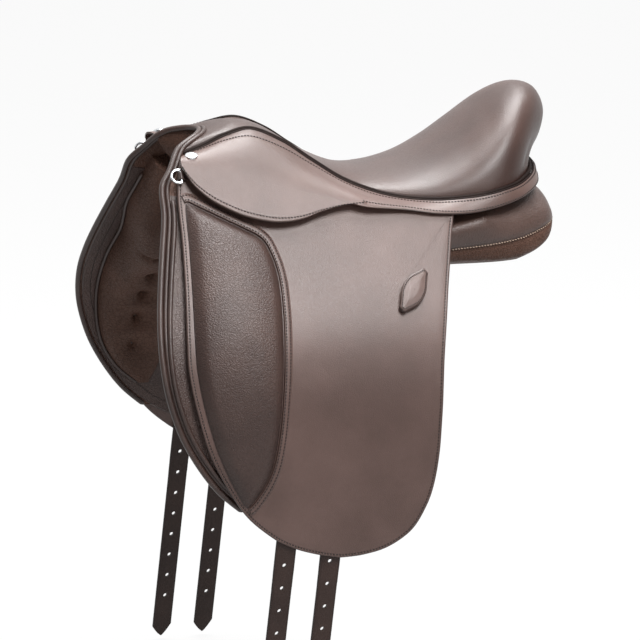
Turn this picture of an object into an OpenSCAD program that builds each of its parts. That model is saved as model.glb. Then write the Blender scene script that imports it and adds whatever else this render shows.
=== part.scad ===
// Dressage saddle with padded seat, long flaps, knee pads, tufted panels and long girth straps.
// Millimetres, X forward, Y to the rider's left, Z up. The origin lies on the middle plane,
// under the deepest point of the seat, where the channel between the panels sits over the spine.

/* [Leather] */
// Thickness of the flap leather
flap_t = 4; // [3:0.1:5]
// Thickness of the skirt leather
skirt_t = 3.5; // [2.5:0.1:4.5]
// Height at which the skirt stands off the flap, over the stirrup bar
skirt_stand = 9; // [8:0.1:11]
// Thickness of the seat cover
cover_t = 2.5; // [1.5:0.1:3.5]
// Thickness of the sweat flap
sweat_t = 3; // [2:0.1:4]
// Height of the knee pad above the flap
pad_h = 20; // [12:1:26]
// Radius of the welt between seat and skirt
welt_r = 3; // [2:0.1:3.5]
// Radius of the piping round the head and front edges
pipe_r = 3; // [2:0.1:3.6]

/* [Seat] */
// Thickness of the seat foam in the middle
foam_t = 16; // [10:1:20]
// Thickness of the tree shell
tree_t = 8; // [6:0.5:10]
// Thickness of the webbing under the seat
web_t = 1.6; // [1:0.1:2]

/* [Girth straps] */
// Width of a girth strap
strap_w = 25; // [22:1:30]
// Thickness of a girth strap
strap_t = 4; // [3:0.1:4.5]
// Number of buckle holes below the bend
strap_holes = 7; // [4:1:8]
// Distance between buckle holes
hole_pitch = 28; // [24:1:30]
// Diameter of a buckle hole
hole_d = 5; // [4:0.1:6]

/* [Metal] */
// Diameter of the stirrup bar rod
bar_d = 6.5; // [5:0.1:7]
// Diameter of the wire of a dee
dee_wire = 3.2; // [2.5:0.1:3.6]
// Diameter of the stud heads on the skirts
stud_d = 15; // [10:0.5:18]

/* [Hidden] */
// Working gap between neighbouring pieces
gap = 0.3;
// Half width of the flap face at the skirt edge, and the height where it is measured
slope_y = 127;
slope_z = 32;
// Outward run of the upper slope for each millimetre down
slope_run = 0.85;
// Half width of the saddle at the hanging part of the flaps
flank_y = 248;
// Softness of the bend between slope and hanging part
bend = 50;
// Running gap between a girth strap and the flap over it
strap_play = 0.5;
// Lean of the girth straps from upright, in degrees
strap_lean = 6.6;
// Height where a girth strap bends outward
strap_bend = -374;
// Length of a girth strap below its last hole
strap_tip = 55;
// Height where a girth strap is sewn to its web
strap_top = 26;
// Places of the front and rear straps at the bend
front_strap_x = 171;
rear_strap_x = 115;

// Layers of the side, measured outward from the flap's outer face
flap_in = -flap_t;
strap_out = flap_in - strap_play;
strap_in = strap_out - strap_t;
sweat_out = strap_in - gap;
sweat_in = sweat_out - sweat_t;
panel_out = sweat_in - gap;
skirt_out = skirt_stand + skirt_t;

// Smooth curve through values given at whole steps
function knot(k, i) = k[max(0, min(len(k) - 1, i))];
function curve(k, t) =
    let (i = max(0, min(len(k) - 2, floor(t))), u = t - i,
         a = knot(k, i - 1), b = k[i], c = k[i + 1], d = knot(k, i + 2))
    b + u / 2 * (c - a + u * (2 * a - 5 * b + 4 * c - d + u * (3 * (b - c) + d - a)));
function path(k, n) = [for (i = [0:n]) curve(k, i * (len(k) - 1) / n)];
function unit(v) = v / norm(v);
function mix(a, b, t) = a + (b - a) * t;

// Half width of the flap's outer face at height z, and the direction that faces out of it
function side_y(z) =
    let (s = slope_y + slope_run * (slope_z - z))
    (s + flank_y - sqrt((s - flank_y) * (s - flank_y) + bend * bend)) / 2;
function side_n(z) =
    let (d = slope_y + slope_run * (slope_z - z) - flank_y)
    unit([0, 1, slope_run / 2 * (1 - d / sqrt(d * d + bend * bend))]);
function side(x, z, out) = [x, side_y(z), z] + out * side_n(z);

// Height at which a layer's face passes a given height, as a half width
function layer_y(z, out) =
    let (a = z - out * side_n(z).z, b = z - out * side_n(a).z, c = z - out * side_n(b).z)
    side(0, c, out).y;

// Line on which the skirts and flaps fold up
fold_head = [250, 88];
fold_tail = [-80, 2];
fold_front = side(fold_head.x, fold_head.y, skirt_out);
fold_rear = side(fold_tail.x, fold_tail.y, skirt_out);
function fold_share(x) = (x - fold_tail.x) / (fold_head.x - fold_tail.x);
function fold(x) = mix(fold_rear, fold_front, fold_share(x));
function fold_z(x) = mix(fold_tail.y, fold_head.y, fold_share(x));

// Seat: middle line and edge line at matching stations from the head to the back of the cantle
seat_mid = [
    [200, 0, 116], [180, 0, 123], [160, 0, 126], [128, 0, 117], [97, 0, 96], [62, 0, 76], [28, 0, 63],
    [0, 0, 59], [-31, 0, 61], [-70, 0, 72], [-110, 0, 94], [-145, 0, 120], [-175, 0, 143],
    [-198, 0, 152], [-219, 0, 146], [-231, 0, 124], [-230, 0, 100], [-224, 0, 80], [-215, 0, 66],
    [-208, 0, 55]
];
seat_edge = [
    [240, 47, 99], [213, 42, 107], [184, 36, 117], [150, 32, 122], [112, 38, 106], [77, 48, 82],
    [43, 60, 60], [8, 76, 46], [-25, 91, 39], [-62, 105, 37], [-95, 113, 39], [-122, 115, 42],
    [-145, 111, 46], [-163, 102, 49], [-178, 88, 53], [-190, 70, 56], [-198, 50, 58], [-204, 28, 59],
    [-207, 9, 59], [-208, gap, 59]
];
// Last station of the seat
last_rim = len(seat_edge) - 1;
// Steep stretch of the seat behind the head: its middle station, its peak and how fast it fades
dish_at = 4.3;
dish_peak = 1.6;
dish_fade = 2;
function dish(i) = 1 + max(0, min(1, dish_peak - abs(i - dish_at) / dish_fade));
function seat_row(c, w, i, q) =
    let (y = sin(90 * abs(q)))
    [mix(c.x, w.x, y * y), w.y * sign(q) * y, mix(w.z, c.z, pow(cos(90 * abs(q)), dish(i)))];
function seat(i, q) = seat_row(curve(seat_mid, i), curve(seat_edge, i), i, q);
function mid_n(i) =
    let (t = curve(seat_mid, i + 0.05) - curve(seat_mid, max(0, i - 0.05)))
    unit([t.z, 0, -t.x]);
// Ways in which the layers step in at the edge, as [outward, up]: where it lies flat and where it is steep
rim_flat = [0.8, 0.6];
rim_steep = [0.1, 1];
function rim_n(i) =
    let (way = mix(rim_flat, rim_steep, max(dish(i) - 1, 1 - i / 2)))
    way.x * edge_out(i) + [0, 0, way.y];
function seat_in(i, q, depth) =
    seat_row(curve(seat_mid, i) - depth * mid_n(i), curve(seat_edge, i) - depth * rim_n(i), i, q);
// Thickness of the seat foam at its edge
foam_edge = 3;
function foam_at(i, q) = foam_edge + foam_t * (1 - pow(abs(q), 4)) * mix(0.3, 1, min(1, i / 5));
// Depth of the foam's top under the face of the seat
foam_top = cover_t + gap;
function web_top(i, q) = foam_top + gap + foam_at(i, q);
function tree_top(i, q) = web_top(i, q) + web_t + gap;
function steps(a, b, n) = [for (k = [0:n]) mix(a, b, k / n)];

// Outward direction and places beside the seat edge
function edge_out(i) =
    let (t = curve(seat_edge, min(last_rim, i + 0.05)) - curve(seat_edge, max(0, i - 0.05)))
    unit(cross(t, [0, 0, 1]));
function beside(i, out, down) = curve(seat_edge, i) + out * edge_out(i) - [0, 0, down];

// Closed solid between two sheets of points with the same rows and columns
module sheet_solid(top, low) {
    n = len(top);
    m = len(top[0]);
    k = n * m;
    points = concat([for (r = top) for (p = r) p], [for (r = low) for (p = r) p]);
    skin = [for (i = [0:n - 2]) for (j = [0:m - 2]) for (f = [
        [i * m + j, (i + 1) * m + j + 1, i * m + j + 1],
        [i * m + j, (i + 1) * m + j, (i + 1) * m + j + 1]]) f];
    back = [for (f = skin) [f[0] + k, f[2] + k, f[1] + k]];
    loop = concat([for (j = [0:m - 2]) j], [for (i = [0:n - 2]) i * m + m - 1],
        [for (j = [m - 1:-1:1]) (n - 1) * m + j], [for (i = [n - 1:-1:1]) i * m]);
    rim = [for (a = [0:len(loop) - 1]) let (p = loop[a], q = loop[(a + 1) % len(loop)])
        for (f = [[p, q + k, p + k], [p, q, q + k]]) f];
    polyhedron(points, concat(skin, back, rim), convexity = 8);
}

// Closed solid through rings of points
module ring_solid(rings) {
    n = len(rings);
    m = len(rings[0]);
    end = (n - 1) * m;
    skin = [for (i = [0:n - 2]) for (j = [0:m - 1]) let (h = (j + 1) % m) for (f = [
        [i * m + j, (i + 1) * m + h, i * m + h],
        [i * m + j, (i + 1) * m + j, (i + 1) * m + h]]) f];
    first = [for (j = [1:m - 2]) [0, j, j + 1]];
    last = [for (j = [1:m - 2]) [end, end + j + 1, end + j]];
    polyhedron([for (r = rings) for (p = r) p], concat(skin, first, last), convexity = 8);
}

// Round cord along a list of points
function ring_at(line, i, r, sides) =
    let (t = unit(line[min(len(line) - 1, i + 1)] - line[max(0, i - 1)]),
         u = unit(cross(t, abs(t.y) < 0.9 ? [0, 1, 0] : [1, 0, 0])), v = cross(t, u))
    [for (a = [0:sides - 1]) line[i] + r * (cos(360 * a / sides) * u + sin(360 * a / sides) * v)];
module cord(line, r, sides = 6) ring_solid([for (i = [0:len(line) - 1]) ring_at(line, i, r, sides)]);

// Band of the side between two layers, and a plate of it cut to an outline of [x, z] points
side_floor = strap_bend - 16;
side_top = 140;
side_step = 10;
side_rear = -120;
side_long = 460;
side_wide = flank_y + 52;
side_clear = 5;
side_heights = [for (z = [side_floor:side_step:side_top]) z];
function face_line(heights, out) = [for (z = heights) let (p = side(0, z, out)) [p.y, p.z]];
function backward(line) = [for (k = [len(line) - 1:-1:0]) line[k]];
module side_band(low, high) translate([side_rear, 0, 0]) rotate([90, 0, 90]) linear_extrude(side_long)
    polygon(concat(face_line(side_heights, high), backward(face_line(side_heights, low))));
module side_plate(outline, low, high) intersection() {
    side_band(low, high);
    translate([0, side_wide, 0]) rotate([90, 0, 0]) linear_extrude(side_wide - side_clear) polygon(outline);
}
module other_side() mirror([0, 1, 0]) children();

// Places a piece on the side: x forward, y down along the face, z out of it
module on_side(x, z, out, turn = 0)
    translate(side(x, z, out))
    rotate([-atan2(side_n(z).y, side_n(z).z), 0, 0])
    rotate([0, 0, turn]) children();

// Outlines in the side view
flap_front = [[251, 86], [258, 57], [262, 17], [268, -27], [277, -85], [279, -123], [271, -172],
    [255, -226], [221, -288], [187, -322], [159, -339], [128, -350], [101, -356]];
flap_back = [[101, -356], [73, -355], [42, -348], [13, -330], [-5, -303], [-15, -276], [-22, -238],
    [-26, -193], [-32, -125], [-46, -65], [-62, -18], [-70, 0]];
sweat_front = [[268, 66], [272, 36], [282, 1], [292, -35], [299, -66], [303, -98], [302, -132],
    [296, -163], [284, -198], [265, -233], [243, -263], [216, -288]];
sweat_back = [[216, -288], [182, -307], [146, -318], [108, -320], [72, -312], [44, -292], [26, -260],
    [14, -210], [4, -150], [-8, -90], [-24, -35], [-34, 0]];
skirt_edge = [[249, 85], [244, 74], [236, 62], [218, 47], [188, 32], [159, 24], [137, 22], [114, 24],
    [90, 30], [62, 35], [32, 36.5]];
pad_front = [[250, 53], [254, 17], [260, -27], [268, -85], [270, -123], [262, -172], [246, -226],
    [219, -283]];
pad_back = [[163, 9], [155, -25], [158, -62], [165, -111], [170, -154], [176, -205], [186, -248],
    [212, -284]];
lobe_front = [[262, -27], [274, -70], [281, -130], [276, -189], [257, -230], [228, -258]];
lobe_back = [[196, -27], [190, -70], [188, -130], [190, -189], [197, -228], [212, -258]];

// Seat and its inside: step between rows in stations, and between columns in shares of the half width
row_step = 0.75;
column_step = 1 / 9;
// Slot in the tree under the rider's seat: half of its outline, from the narrow end to the wide end
tree_slot = [[84, 13], [-66, 42]];
function rows(a, b) = [for (k = [a:b]) k * row_step];
function columns(a, b) = [for (k = [a:b]) k * column_step];
module seat_layer(i_range, q_range, top, low) sheet_solid(
    [for (i = i_range) [for (q = q_range) seat_in(i, q, top(i, q))]],
    [for (i = i_range) [for (q = q_range) seat_in(i, q, low(i, q))]]);
module seat_cover() seat_layer(rows(0, 24), columns(-9, 9), function(i, q) 0, function(i, q) cover_t);
module seat_foam() seat_layer(rows(1, 22), columns(-8, 8),
    function(i, q) foam_top, function(i, q) foam_top + foam_at(i, q));
module seat_webs() for (k = [-3, 1]) seat_layer(rows(3, 17), columns(k, k + 2),
    function(i, q) web_top(i, q), function(i, q) web_top(i, q) + web_t);
module saddle_tree() difference() {
    seat_layer(rows(2, 17), columns(-7, 7),
        function(i, q) tree_top(i, q), function(i, q) tree_top(i, q) + tree_t);
    linear_extrude(side_top) polygon(concat(tree_slot, [for (p = backward(tree_slot)) [p.x, -p.y]]));
}
module seat_welt() cord([for (i = steps(0.3, last_rim, 46)) beside(i, welt_r + 3 * gap, 0)], welt_r);

// Skirt: fixed band beside the seat, and the free belly below the fold
band_low = [[-15, 131, 33], [-55, 135, 26], [-92, 134, 23], [-122, 131, 25], [-148, 125, 29],
    [-169, 115, 33], [-186, 100, 37], [-200, 80, 40], [-209, 56, 42], [-216, 31, 43], [-218, 9, 43],
    [-219, gap, 43]];
// Stations of the band along the fold
fold_x = [249, 232, 205, 170, 130, 90, 55, 32];
band_foot = concat([for (x = fold_x) fold(x) + [0, 0, 2 * gap]], band_low);
// Crown of the band: its rest height, and its extra height over the part in front of the fold's end
crown_rest = 1.5;
crown_more = 7;
fold_end = len(fold_x) - 1;
function band_bulge(i) = crown_rest + crown_more * sin(180 * max(0, min(1, (i + 0.6) / (fold_end + 0.6))));
function band_turn(i) = max(0, min(1, (i - fold_end) / 3));
function band_dir(i, out, up) = out * mix([0, 1, 0], edge_out(i), band_turn(i)) + [0, 0, up];
function band_out(i, v) =
    mix(beside(i, 2 * welt_r + 6 * gap, 1), curve(band_foot, i), v)
    + band_bulge(i) * sin(180 * v) * band_dir(i, 0.6, 0.8);
// Ways through the leather as [outward, up], at the welt and at the foot, beside the fold and behind it
front_welt_way = [0.77, 0.64];
front_foot_way = [1.31, 0];
rear_welt_way = [0.5, 0.87];
rear_foot_way = [0.8, 0.6];
function band_in(i, v) =
    let (front = mix(front_welt_way, front_foot_way, v), rear = mix(rear_welt_way, rear_foot_way, v),
         way = mix(front, rear, band_turn(i)))
    band_out(i, v) - skirt_t * band_dir(i, way.x, way.y);
// Rows along the band and columns across it
band_rows = steps(0, last_rim, 38);
band_columns = steps(0, 1, 4);
module skirt_band() sheet_solid(
    [for (i = band_rows) [for (v = band_columns) band_out(i, v)]],
    [for (i = band_rows) [for (v = band_columns) band_in(i, v)]]);
skirt_top = [for (x = [fold_x[fold_end], fold_x[0]]) [x, fold(x).z]];
module skirt() side_plate(concat(path(skirt_edge, 40), skirt_top), skirt_stand, skirt_out);

// Flap with pad and keeper
// Drop from the fold's line to the flap's face below it, and the height of a flap's upper edge there
fold_drop = skirt_out * side_n(50).z;
function flap_top(x) = fold(x).z - fold_drop;
// Gap between a flap and its sewn root
root_gap = 0.5;
// Ends of the flap along the fold
flap_rear = -70;
flap_head = 250;
module flap() side_plate(concat(path(flap_front, 48), path(flap_back, 44),
    [for (x = [flap_rear, flap_head]) [x, flap_top(x) - root_gap]]), flap_in, 0);
// Depth of the root's upper edge under the band, its height over the fold, and its cut-back upper corners
root_under = 7;
root_h = 10;
root_cut = 4;
module flap_root() side_plate([[flap_rear, flap_top(flap_rear)],
    [flap_rear + root_cut, band_low[1].z - root_under],
    for (k = [1:-1:0]) [band_low[k].x, band_low[k].z - root_under],
    for (x = [fold_x[fold_end], flap_head - root_cut]) [x, flap_top(x) + root_h],
    [flap_head, flap_top(flap_head)]], flap_in, 0);
// Height of the knee pad at its edge, and its stand above the gap over the flap
pad_edge = 2;
pad_seat = 0.15;
function pad_rise(r, c) =
    let (across = 1 - pow(abs(2 * c - 1), 3), down = 1 - pow(1 - min(1, r / 0.14), 2), tip = 1 - pow(r, 5))
    pad_edge + (pad_h - pad_edge) * across * mix(0.15, 1, down) * mix(0.1, 1, tip);
function pad_at(r, c, out) =
    let (p = mix(curve(pad_front, 7 * r), curve(pad_back, 7 * r), c)) side(p.x, p.y, out);
module knee_pad() sheet_solid(
    [for (r = steps(0, 1, 20)) [for (c = steps(1, 0, 10)) pad_at(r, c, gap + pad_rise(r, c))]],
    [for (r = steps(0, 1, 20)) [for (c = steps(1, 0, 10)) pad_at(r, c, gap + pad_seat)]]);
// Leather keeper on the flap: middle, half length, half width, layers of the loop, and feet with their lap
keeper_mid = [-4, -54];
keeper_l = 26;
keeper_w = 13;
keeper_in = 6;
keeper_out = 8.5;
keeper_foot = 7;
keeper_lap = 0.2;
module flap_keeper() {
    along = unit([1, -1]);
    across = [along.y, -along.x];
    lens = [for (a = [0:15:345]) keeper_mid + keeper_l * cos(a) * along
        + keeper_w * sin(a) * mix(1, pow(sin(a), 2), 0.45) * across];
    side_plate(lens, keeper_in, keeper_out);
    for (s = [-1, 1]) intersection() {
        side_plate(lens, gap + 0.1, keeper_in + keeper_lap);
        translate([keeper_mid.x, side_wide / 2, keeper_mid.y] + s * keeper_l * [along.x, 0, along.y])
            rotate([0, 45, 0]) cube([2 * keeper_foot, side_wide, 4 * keeper_w], center = true);
    }
}

// Front dee on its chape
dee_r = 8.5;
dee_leg = 2.5;
dee_at = [250, 78];
dee_out = gap + dee_wire / 2 + 2;
module dee_ring() on_side(dee_at.x, dee_at.y, dee_out) {
    translate([dee_leg, 0, 0]) rotate([0, 0, -90]) rotate_extrude(angle = 180, $fn = 48)
        translate([dee_r, 0]) circle(d = dee_wire, $fn = 24);
    rotate([90, 0, 0]) cylinder(h = 2 * dee_r, d = dee_wire, center = true, $fn = 24);
    for (s = [-1, 1]) translate([0, s * dee_r, 0]) {
        sphere(d = dee_wire, $fn = 32);
        rotate([0, 90, 0]) cylinder(h = dee_leg, d = dee_wire, $fn = 24);
    }
}
// Chape: its length, width, leather thickness and the depth of its strip
chape_l = 26;
chape_w = 9;
chape_t = 1.8;
chape_deep = 2.4;
module dee_chape() on_side(dee_at.x, dee_at.y, dee_out) difference() {
    union() {
        rotate([90, 0, 0]) cylinder(h = chape_w, d = dee_wire + 2 * chape_t, center = true, $fn = 32);
        translate([-chape_l, -chape_w / 2, -dee_wire / 2 - chape_t]) cube([chape_l, chape_w, chape_deep]);
    }
    rotate([90, 0, 0]) cylinder(h = chape_w + 3, d = dee_wire + 2 * gap, center = true, $fn = 32);
}

// Stirrup bar with its safety catch: turn along the fold, place, and layers of the rod and of its plate
bar_turn = -16.6;
bar_x = 180;
bar_z = fold_z(bar_x) + 20;
bar_out = 1.5;
plate_out = -11;
// Plate of the bar: rear end, length, width and thickness
plate_x = -35;
plate_l = 73;
plate_w = 16;
plate_t = 3.2;
// Rod: rear end, length, and the size of the neck that joins it to the plate
rod_x = -28;
rod_l = 66;
neck_w = 8;
// Nose of the bar with the pin of the catch
nose_w = 6.4;
nose_t = 2.2;
pin_x = -34;
pin_d = 3.2;
// Catch: length, width, thickness, boss and its height on the pin
catch_l = 15;
catch_w = 6;
catch_t = 3.4;
catch_boss = 9;
catch_z = bar_out - bar_d / 2 + nose_t + gap;
// Rivets: places along the plate, shank, head and head height
rivet_x = [-24, 16];
rivet_d = 5;
rivet_head = 9;
rivet_h = 2.4;
// Head plate: rear end, length, thickness, heights of its legs and the half width and height of its crown
head_x = 142;
head_l = 64;
head_t = 4;
head_legs = [44:10:104];
crown_y = 26;
crown_z = 92.1;
// Length of a drill that passes through the bar's plate and the leg under it, and its reach above the plate
drill = 30;
drill_top = 1;
module at_bar() on_side(bar_x, bar_z, 0, bar_turn) children();
module rivet_holes() for (x = rivet_x)
    translate([x, 0, plate_out + drill_top - drill]) cylinder(h = drill, d = rivet_d + 2 * gap, $fn = 24);
module stirrup_bar() at_bar() difference() {
    union() {
        translate([plate_x, -plate_w / 2, plate_out - plate_t]) cube([plate_l, plate_w, plate_t]);
        translate([rod_x, 0, bar_out]) rotate([0, 90, 0]) cylinder(h = rod_l, d = bar_d, $fn = 32);
        translate([rod_x + rod_l - neck_w, -neck_w / 2, plate_out - 0.5])
            cube([neck_w, neck_w, bar_out - plate_out]);
        translate([pin_x - 4, -nose_w / 2, bar_out - bar_d / 2]) cube([rod_x - pin_x + 6, nose_w, nose_t]);
        translate([pin_x, 0, bar_out - bar_d / 2]) cylinder(h = bar_d, d = pin_d, $fn = 24);
    }
    rivet_holes();
}
module bar_catch() at_bar() difference() {
    union() {
        translate([pin_x, 0, catch_z]) cylinder(h = catch_t, d = catch_boss, $fn = 32);
        translate([pin_x - catch_l, -catch_w / 2, catch_z]) cube([catch_l, catch_w, catch_t]);
    }
    translate([pin_x, 0, catch_z - 1]) cylinder(h = catch_t + 2, d = pin_d + 2 * gap, $fn = 24);
}
// Depth of a rivet's shank through the plate, the gap and the head plate's leg
rivet_deep = plate_t + gap + head_t;
module side_rivets() at_bar() for (x = rivet_x) translate([x, 0, plate_out + gap]) {
    translate([0, 0, -rivet_deep - 2 * gap]) cylinder(h = rivet_deep + 2 * gap + 1, d = rivet_d, $fn = 24);
    cylinder(h = rivet_h, d = rivet_head, $fn = 32);
}
module bar_rivets() {
    side_rivets();
    other_side() side_rivets();
}
// Outer face of the head plate's legs
leg_out = plate_out - plate_t - gap;
// Strip across the saddle from half lines of [y, z] points that start at the left foot
function turned(line) = [for (p = line) [-p.x, p.y]];
function across(outer, inner) =
    concat(outer, backward(turned(outer)), turned(inner), backward(inner));
module head_plate() difference() {
    translate([head_x, 0, 0]) rotate([90, 0, 90]) linear_extrude(head_l) polygon(across(
        concat(face_line(head_legs, leg_out), [[crown_y, crown_z]]),
        concat(face_line(head_legs, leg_out - head_t), [[crown_y - 1, crown_z - head_t]])));
    for (s = [0, 1]) mirror([0, s, 0]) at_bar() rivet_holes();
}

// Sweat flap, panels and the lining of the channel
sweat_peak = [150, 40];
module sweat_flap()
    side_plate(concat(path(sweat_front, 44), path(sweat_back, 44), [sweat_peak]), sweat_in, sweat_out);
// Stations of a panel along the saddle, and its four corner lines as [y, z] points there
panel_x = [-223, -219, -209, -188, -150, -80, 0, 80, 150, 200, 240, 260];
top_in = [[54, 8], [46, 24], [41, 34], [37, 36], [35, 36], [35, 26], [35, 18], [36, 28], [40, 54], [45, 70],
    [56, 66], [70, 50]];
low_in = [[56, -8], [48, -18], [44, -30], [41, -36], [40, -36], [42, -34], [44, -26], [47, -14], [52, 10],
    [58, 28], [72, 30], [84, 24]];
low_out = [[72, -8], [86, -18], [97, -27], [107, -35], [112, -40], [116, -38], [118, -38], [122, -44],
    [126, -52], [128, -54], [126, -50], [118, -36]];
top_out = [[74, 8], [90, 20], [101, 28], [112, 26], [120, 20], [124, 6], [133, -4], [142, -12], [151, -24],
    [161, -31], [170, -31], [170, -24]];
last_panel = len(panel_x) - 1;
// Swell of a panel's under face, along its length and at its rear end
panel_swell = 15;
rear_swell = 4;
function yz(x, p) = [x, p.x, p.y];
function panel_ring(t) =
    let (x = curve(panel_x, t), a = curve(top_in, t), b = curve(low_in, t), c = curve(low_out, t),
         e = curve(top_out, t), d = [min(layer_y(e.y, panel_out), e.x), e.y],
         n = unit([c.y - b.y, b.x - c.x]),
         deep = mix(rear_swell, panel_swell, min(1, t / 3)) * min(1, (last_panel + 0.3 - t) / 1.5))
    [yz(x, a), yz(x, (a + b) / 2 + [-2, 0]), yz(x, b),
     for (k = [0.14, 0.32, 0.5, 0.68, 0.86]) yz(x, mix(b, c, k) + deep * sin(180 * k) * n),
     yz(x, c), yz(x, (c + d) / 2 - 3 * n.y * [1, 0]), yz(x, d), yz(x, mix(d, a, 0.5) + [0, 4])];
module panel() ring_solid([for (t = steps(0, last_panel, 33)) panel_ring(t)]);
// Tufts of the panel front: places, reach and share of the depth that they draw in
tufts = [[222, -82], [228, -122], [233, -162], [237, -202]];
tuft_r = 16;
tuft_in = 0.3;
// Depth of the panel front at its top and at its tip, and its stand off the sweat flap's layer
lobe_top = 33;
lobe_tip = 8;
lobe_gap = 0.1;
function tuft(p) = max([for (k = tufts) exp(-(p - k) * (p - k) / tuft_r / tuft_r)]);
function lobe_deep(r, c, p) =
    mix(lobe_top, lobe_tip, pow(r, 1.6)) * (1 - 0.5 * pow(abs(2 * c - 1), 4)) * (1 - tuft_in * tuft(p));
function lobe_at(r, c, deep) =
    let (p = mix(curve(lobe_front, 5 * r), curve(lobe_back, 5 * r), c))
    side(p.x, p.y, panel_out - lobe_gap - (deep ? lobe_deep(r, c, p) : 0));
module panel_front() sheet_solid(
    [for (r = steps(0, 1, 18)) [for (c = steps(1, 0, 9)) lobe_at(r, c, false)]],
    [for (r = steps(0, 1, 18)) [for (c = steps(1, 0, 9)) lobe_at(r, c, true)]]);
// Lining of the channel: thickness, first and last station along the panels, gap beside a panel and arch
lining_t = 2;
lining_rear = 2.2;
lining_front = 9.4;
lining_gap = 2.5;
lining_arch = 6;
function lining_at(t, s, drop) =
    let (level = mix(0.58, 0.95, pow(max(0, (t - 6) / (lining_front - 6)), 2)),
         wall = mix(curve(low_in, t), curve(top_in, t), level))
    [curve(panel_x, t), s * (wall.x - lining_gap), wall.y + lining_arch * (1 - s * s) - drop];
lining_rows = steps(lining_rear, lining_front, 20);
module channel_lining() sheet_solid(
    [for (t = lining_rows) [for (s = steps(1, -1, 4)) lining_at(t, s, 0)]],
    [for (t = lining_rows) [for (s = steps(1, -1, 4)) lining_at(t, s, lining_t)]]);

// Facing that closes the head above the channel
facing_t = 2.5;
function facing_at(s, v, back) =
    mix(seat(0, s) + [pipe_r + 0.2, 0, 0.5 - pipe_r - gap],
        lining_at(lining_front, s, 0) + [facing_t + 3 * gap, 0, -lining_t], v) - [back, 0, 0];
module head_facing() sheet_solid(
    [for (v = steps(1, 0, 4)) [for (s = columns(-9, 9)) facing_at(s, v, 0)]],
    [for (v = steps(1, 0, 4)) [for (s = columns(-9, 9)) facing_at(s, v, facing_t)]]);

// Piping round the head and down both front edges
pipe_mid = (sweat_in + sweat_out) / 2;
// Point where the piping turns from the head down to the sweat flap
pipe_turn = [258, 66, 84];
function edge_normal(k) =
    let (t = knot(sweat_front, k + 1) - knot(sweat_front, k - 1)) unit([-t.y, t.x]);
pipe_half = concat(
    [for (q = [0, 0.3, 0.6, 0.9]) seat(0, q) + [pipe_r + 2, 0, 1]], [pipe_turn],
    [for (k = [0:len(sweat_front) - 1]) let (p = sweat_front[k] + (pipe_r + 2 * gap) * edge_normal(k))
        [p.x, layer_y(p.y, pipe_mid), p.y]]);
function flipped(line) = [for (k = [len(line) - 1:-1:1]) [line[k].x, -line[k].y, line[k].z]];
module head_piping() cord(path(concat(flipped(pipe_half), pipe_half), 96), pipe_r);

// Stud heads on the skirts: station and share of the band's width, and the way a stud faces
stud_i = 0.45;
stud_v = 0.45;
stud_n = unit(cross(band_out(stud_i, stud_v + 0.15) - band_out(stud_i, stud_v - 0.15),
    band_out(stud_i + 0.2, stud_v) - band_out(stud_i - 0.2, stud_v)));
// Height of the stud's rim and of its domed middle, and the dome's radius
stud_rim = 1.6;
stud_h = 2.8;
stud_dome = 14;
module stud() translate(band_out(stud_i, stud_v) + gap * stud_n)
    rotate([0, acos(stud_n.z), atan2(stud_n.y, stud_n.x)]) {
        cylinder(h = stud_rim, d = stud_d, $fn = 48);
        intersection() {
            translate([0, 0, stud_h - stud_dome]) sphere(stud_dome, $fn = 64);
            translate([0, 0, stud_rim / 2]) cylinder(h = 2 * stud_h, d = stud_d - 1, $fn = 48);
        }
    }
module pommel_studs() {
    stud();
    other_side() stud();
}

// Girth straps: webs over the tree, fixed roots under the flaps, free ends that bend outward
function strap_line(x, z, s) =
    [x + (strap_bend - z) * tan(strap_lean) + s * strap_w / 2 / cos(strap_lean), z];
module strap_root(x) difference() {
    side_plate([strap_line(x, strap_top, 1), strap_line(x, strap_bend, 1), strap_line(x, strap_bend, -1),
        strap_line(x, strap_top, -1)], strap_in, strap_out);
    translate([strap_line(x, strap_bend + hole_pitch / 2, 0).x, 0, strap_bend + hole_pitch / 2])
        rotate([-90, 0, 0]) cylinder(h = side_wide, d = hole_d, $fn = 24);
}
// Outer face of a strap at the bend, and the length of its pointed end
strap_y = layer_y(strap_bend, strap_out);
strap_point = 14;
module girth_strap(x) translate([x, strap_y, strap_bend - gap]) rotate([0, -strap_lean, 0]) {
    end = hole_pitch * (strap_holes - 0.5) + strap_tip;
    rise = strap_w / 2 * tan(strap_lean);
    rotate([90, 0, 0]) linear_extrude(strap_t) difference() {
        polygon([[-strap_w / 2, rise], [strap_w / 2, -rise], [strap_w / 2, strap_point - end], [0, -end],
            [-strap_w / 2, strap_point - end]]);
        for (k = [0.5:1:strap_holes - 0.5]) translate([0, -k * hole_pitch]) circle(d = hole_d, $fn = 24);
    }
}
// Webs over the tree: lowest height, half width and heights of the crown, and the top of the sloping part
web_low = strap_top + gap - strap_in * side_n(strap_top).z;
web_crown_y = 24;
front_web_z = 60;
front_web_top = 74;
rear_web_z = 34;
rear_web_top = 50;
module girth_web(x, high, mid)
    translate([strap_line(x, 0, 0).x - strap_w / 2, 0, 0]) rotate([90, 0, 90]) linear_extrude(strap_w)
        polygon(across(
            concat(face_line([web_low:8:high], strap_in + web_t), [[web_crown_y, mid]]),
            concat(face_line([web_low:8:high], strap_in), [[web_crown_y, mid - web_t]])));
module girth_web_front() girth_web(front_strap_x, front_web_top, front_web_z);
module girth_web_rear() girth_web(rear_strap_x, rear_web_top, rear_web_z);

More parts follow.
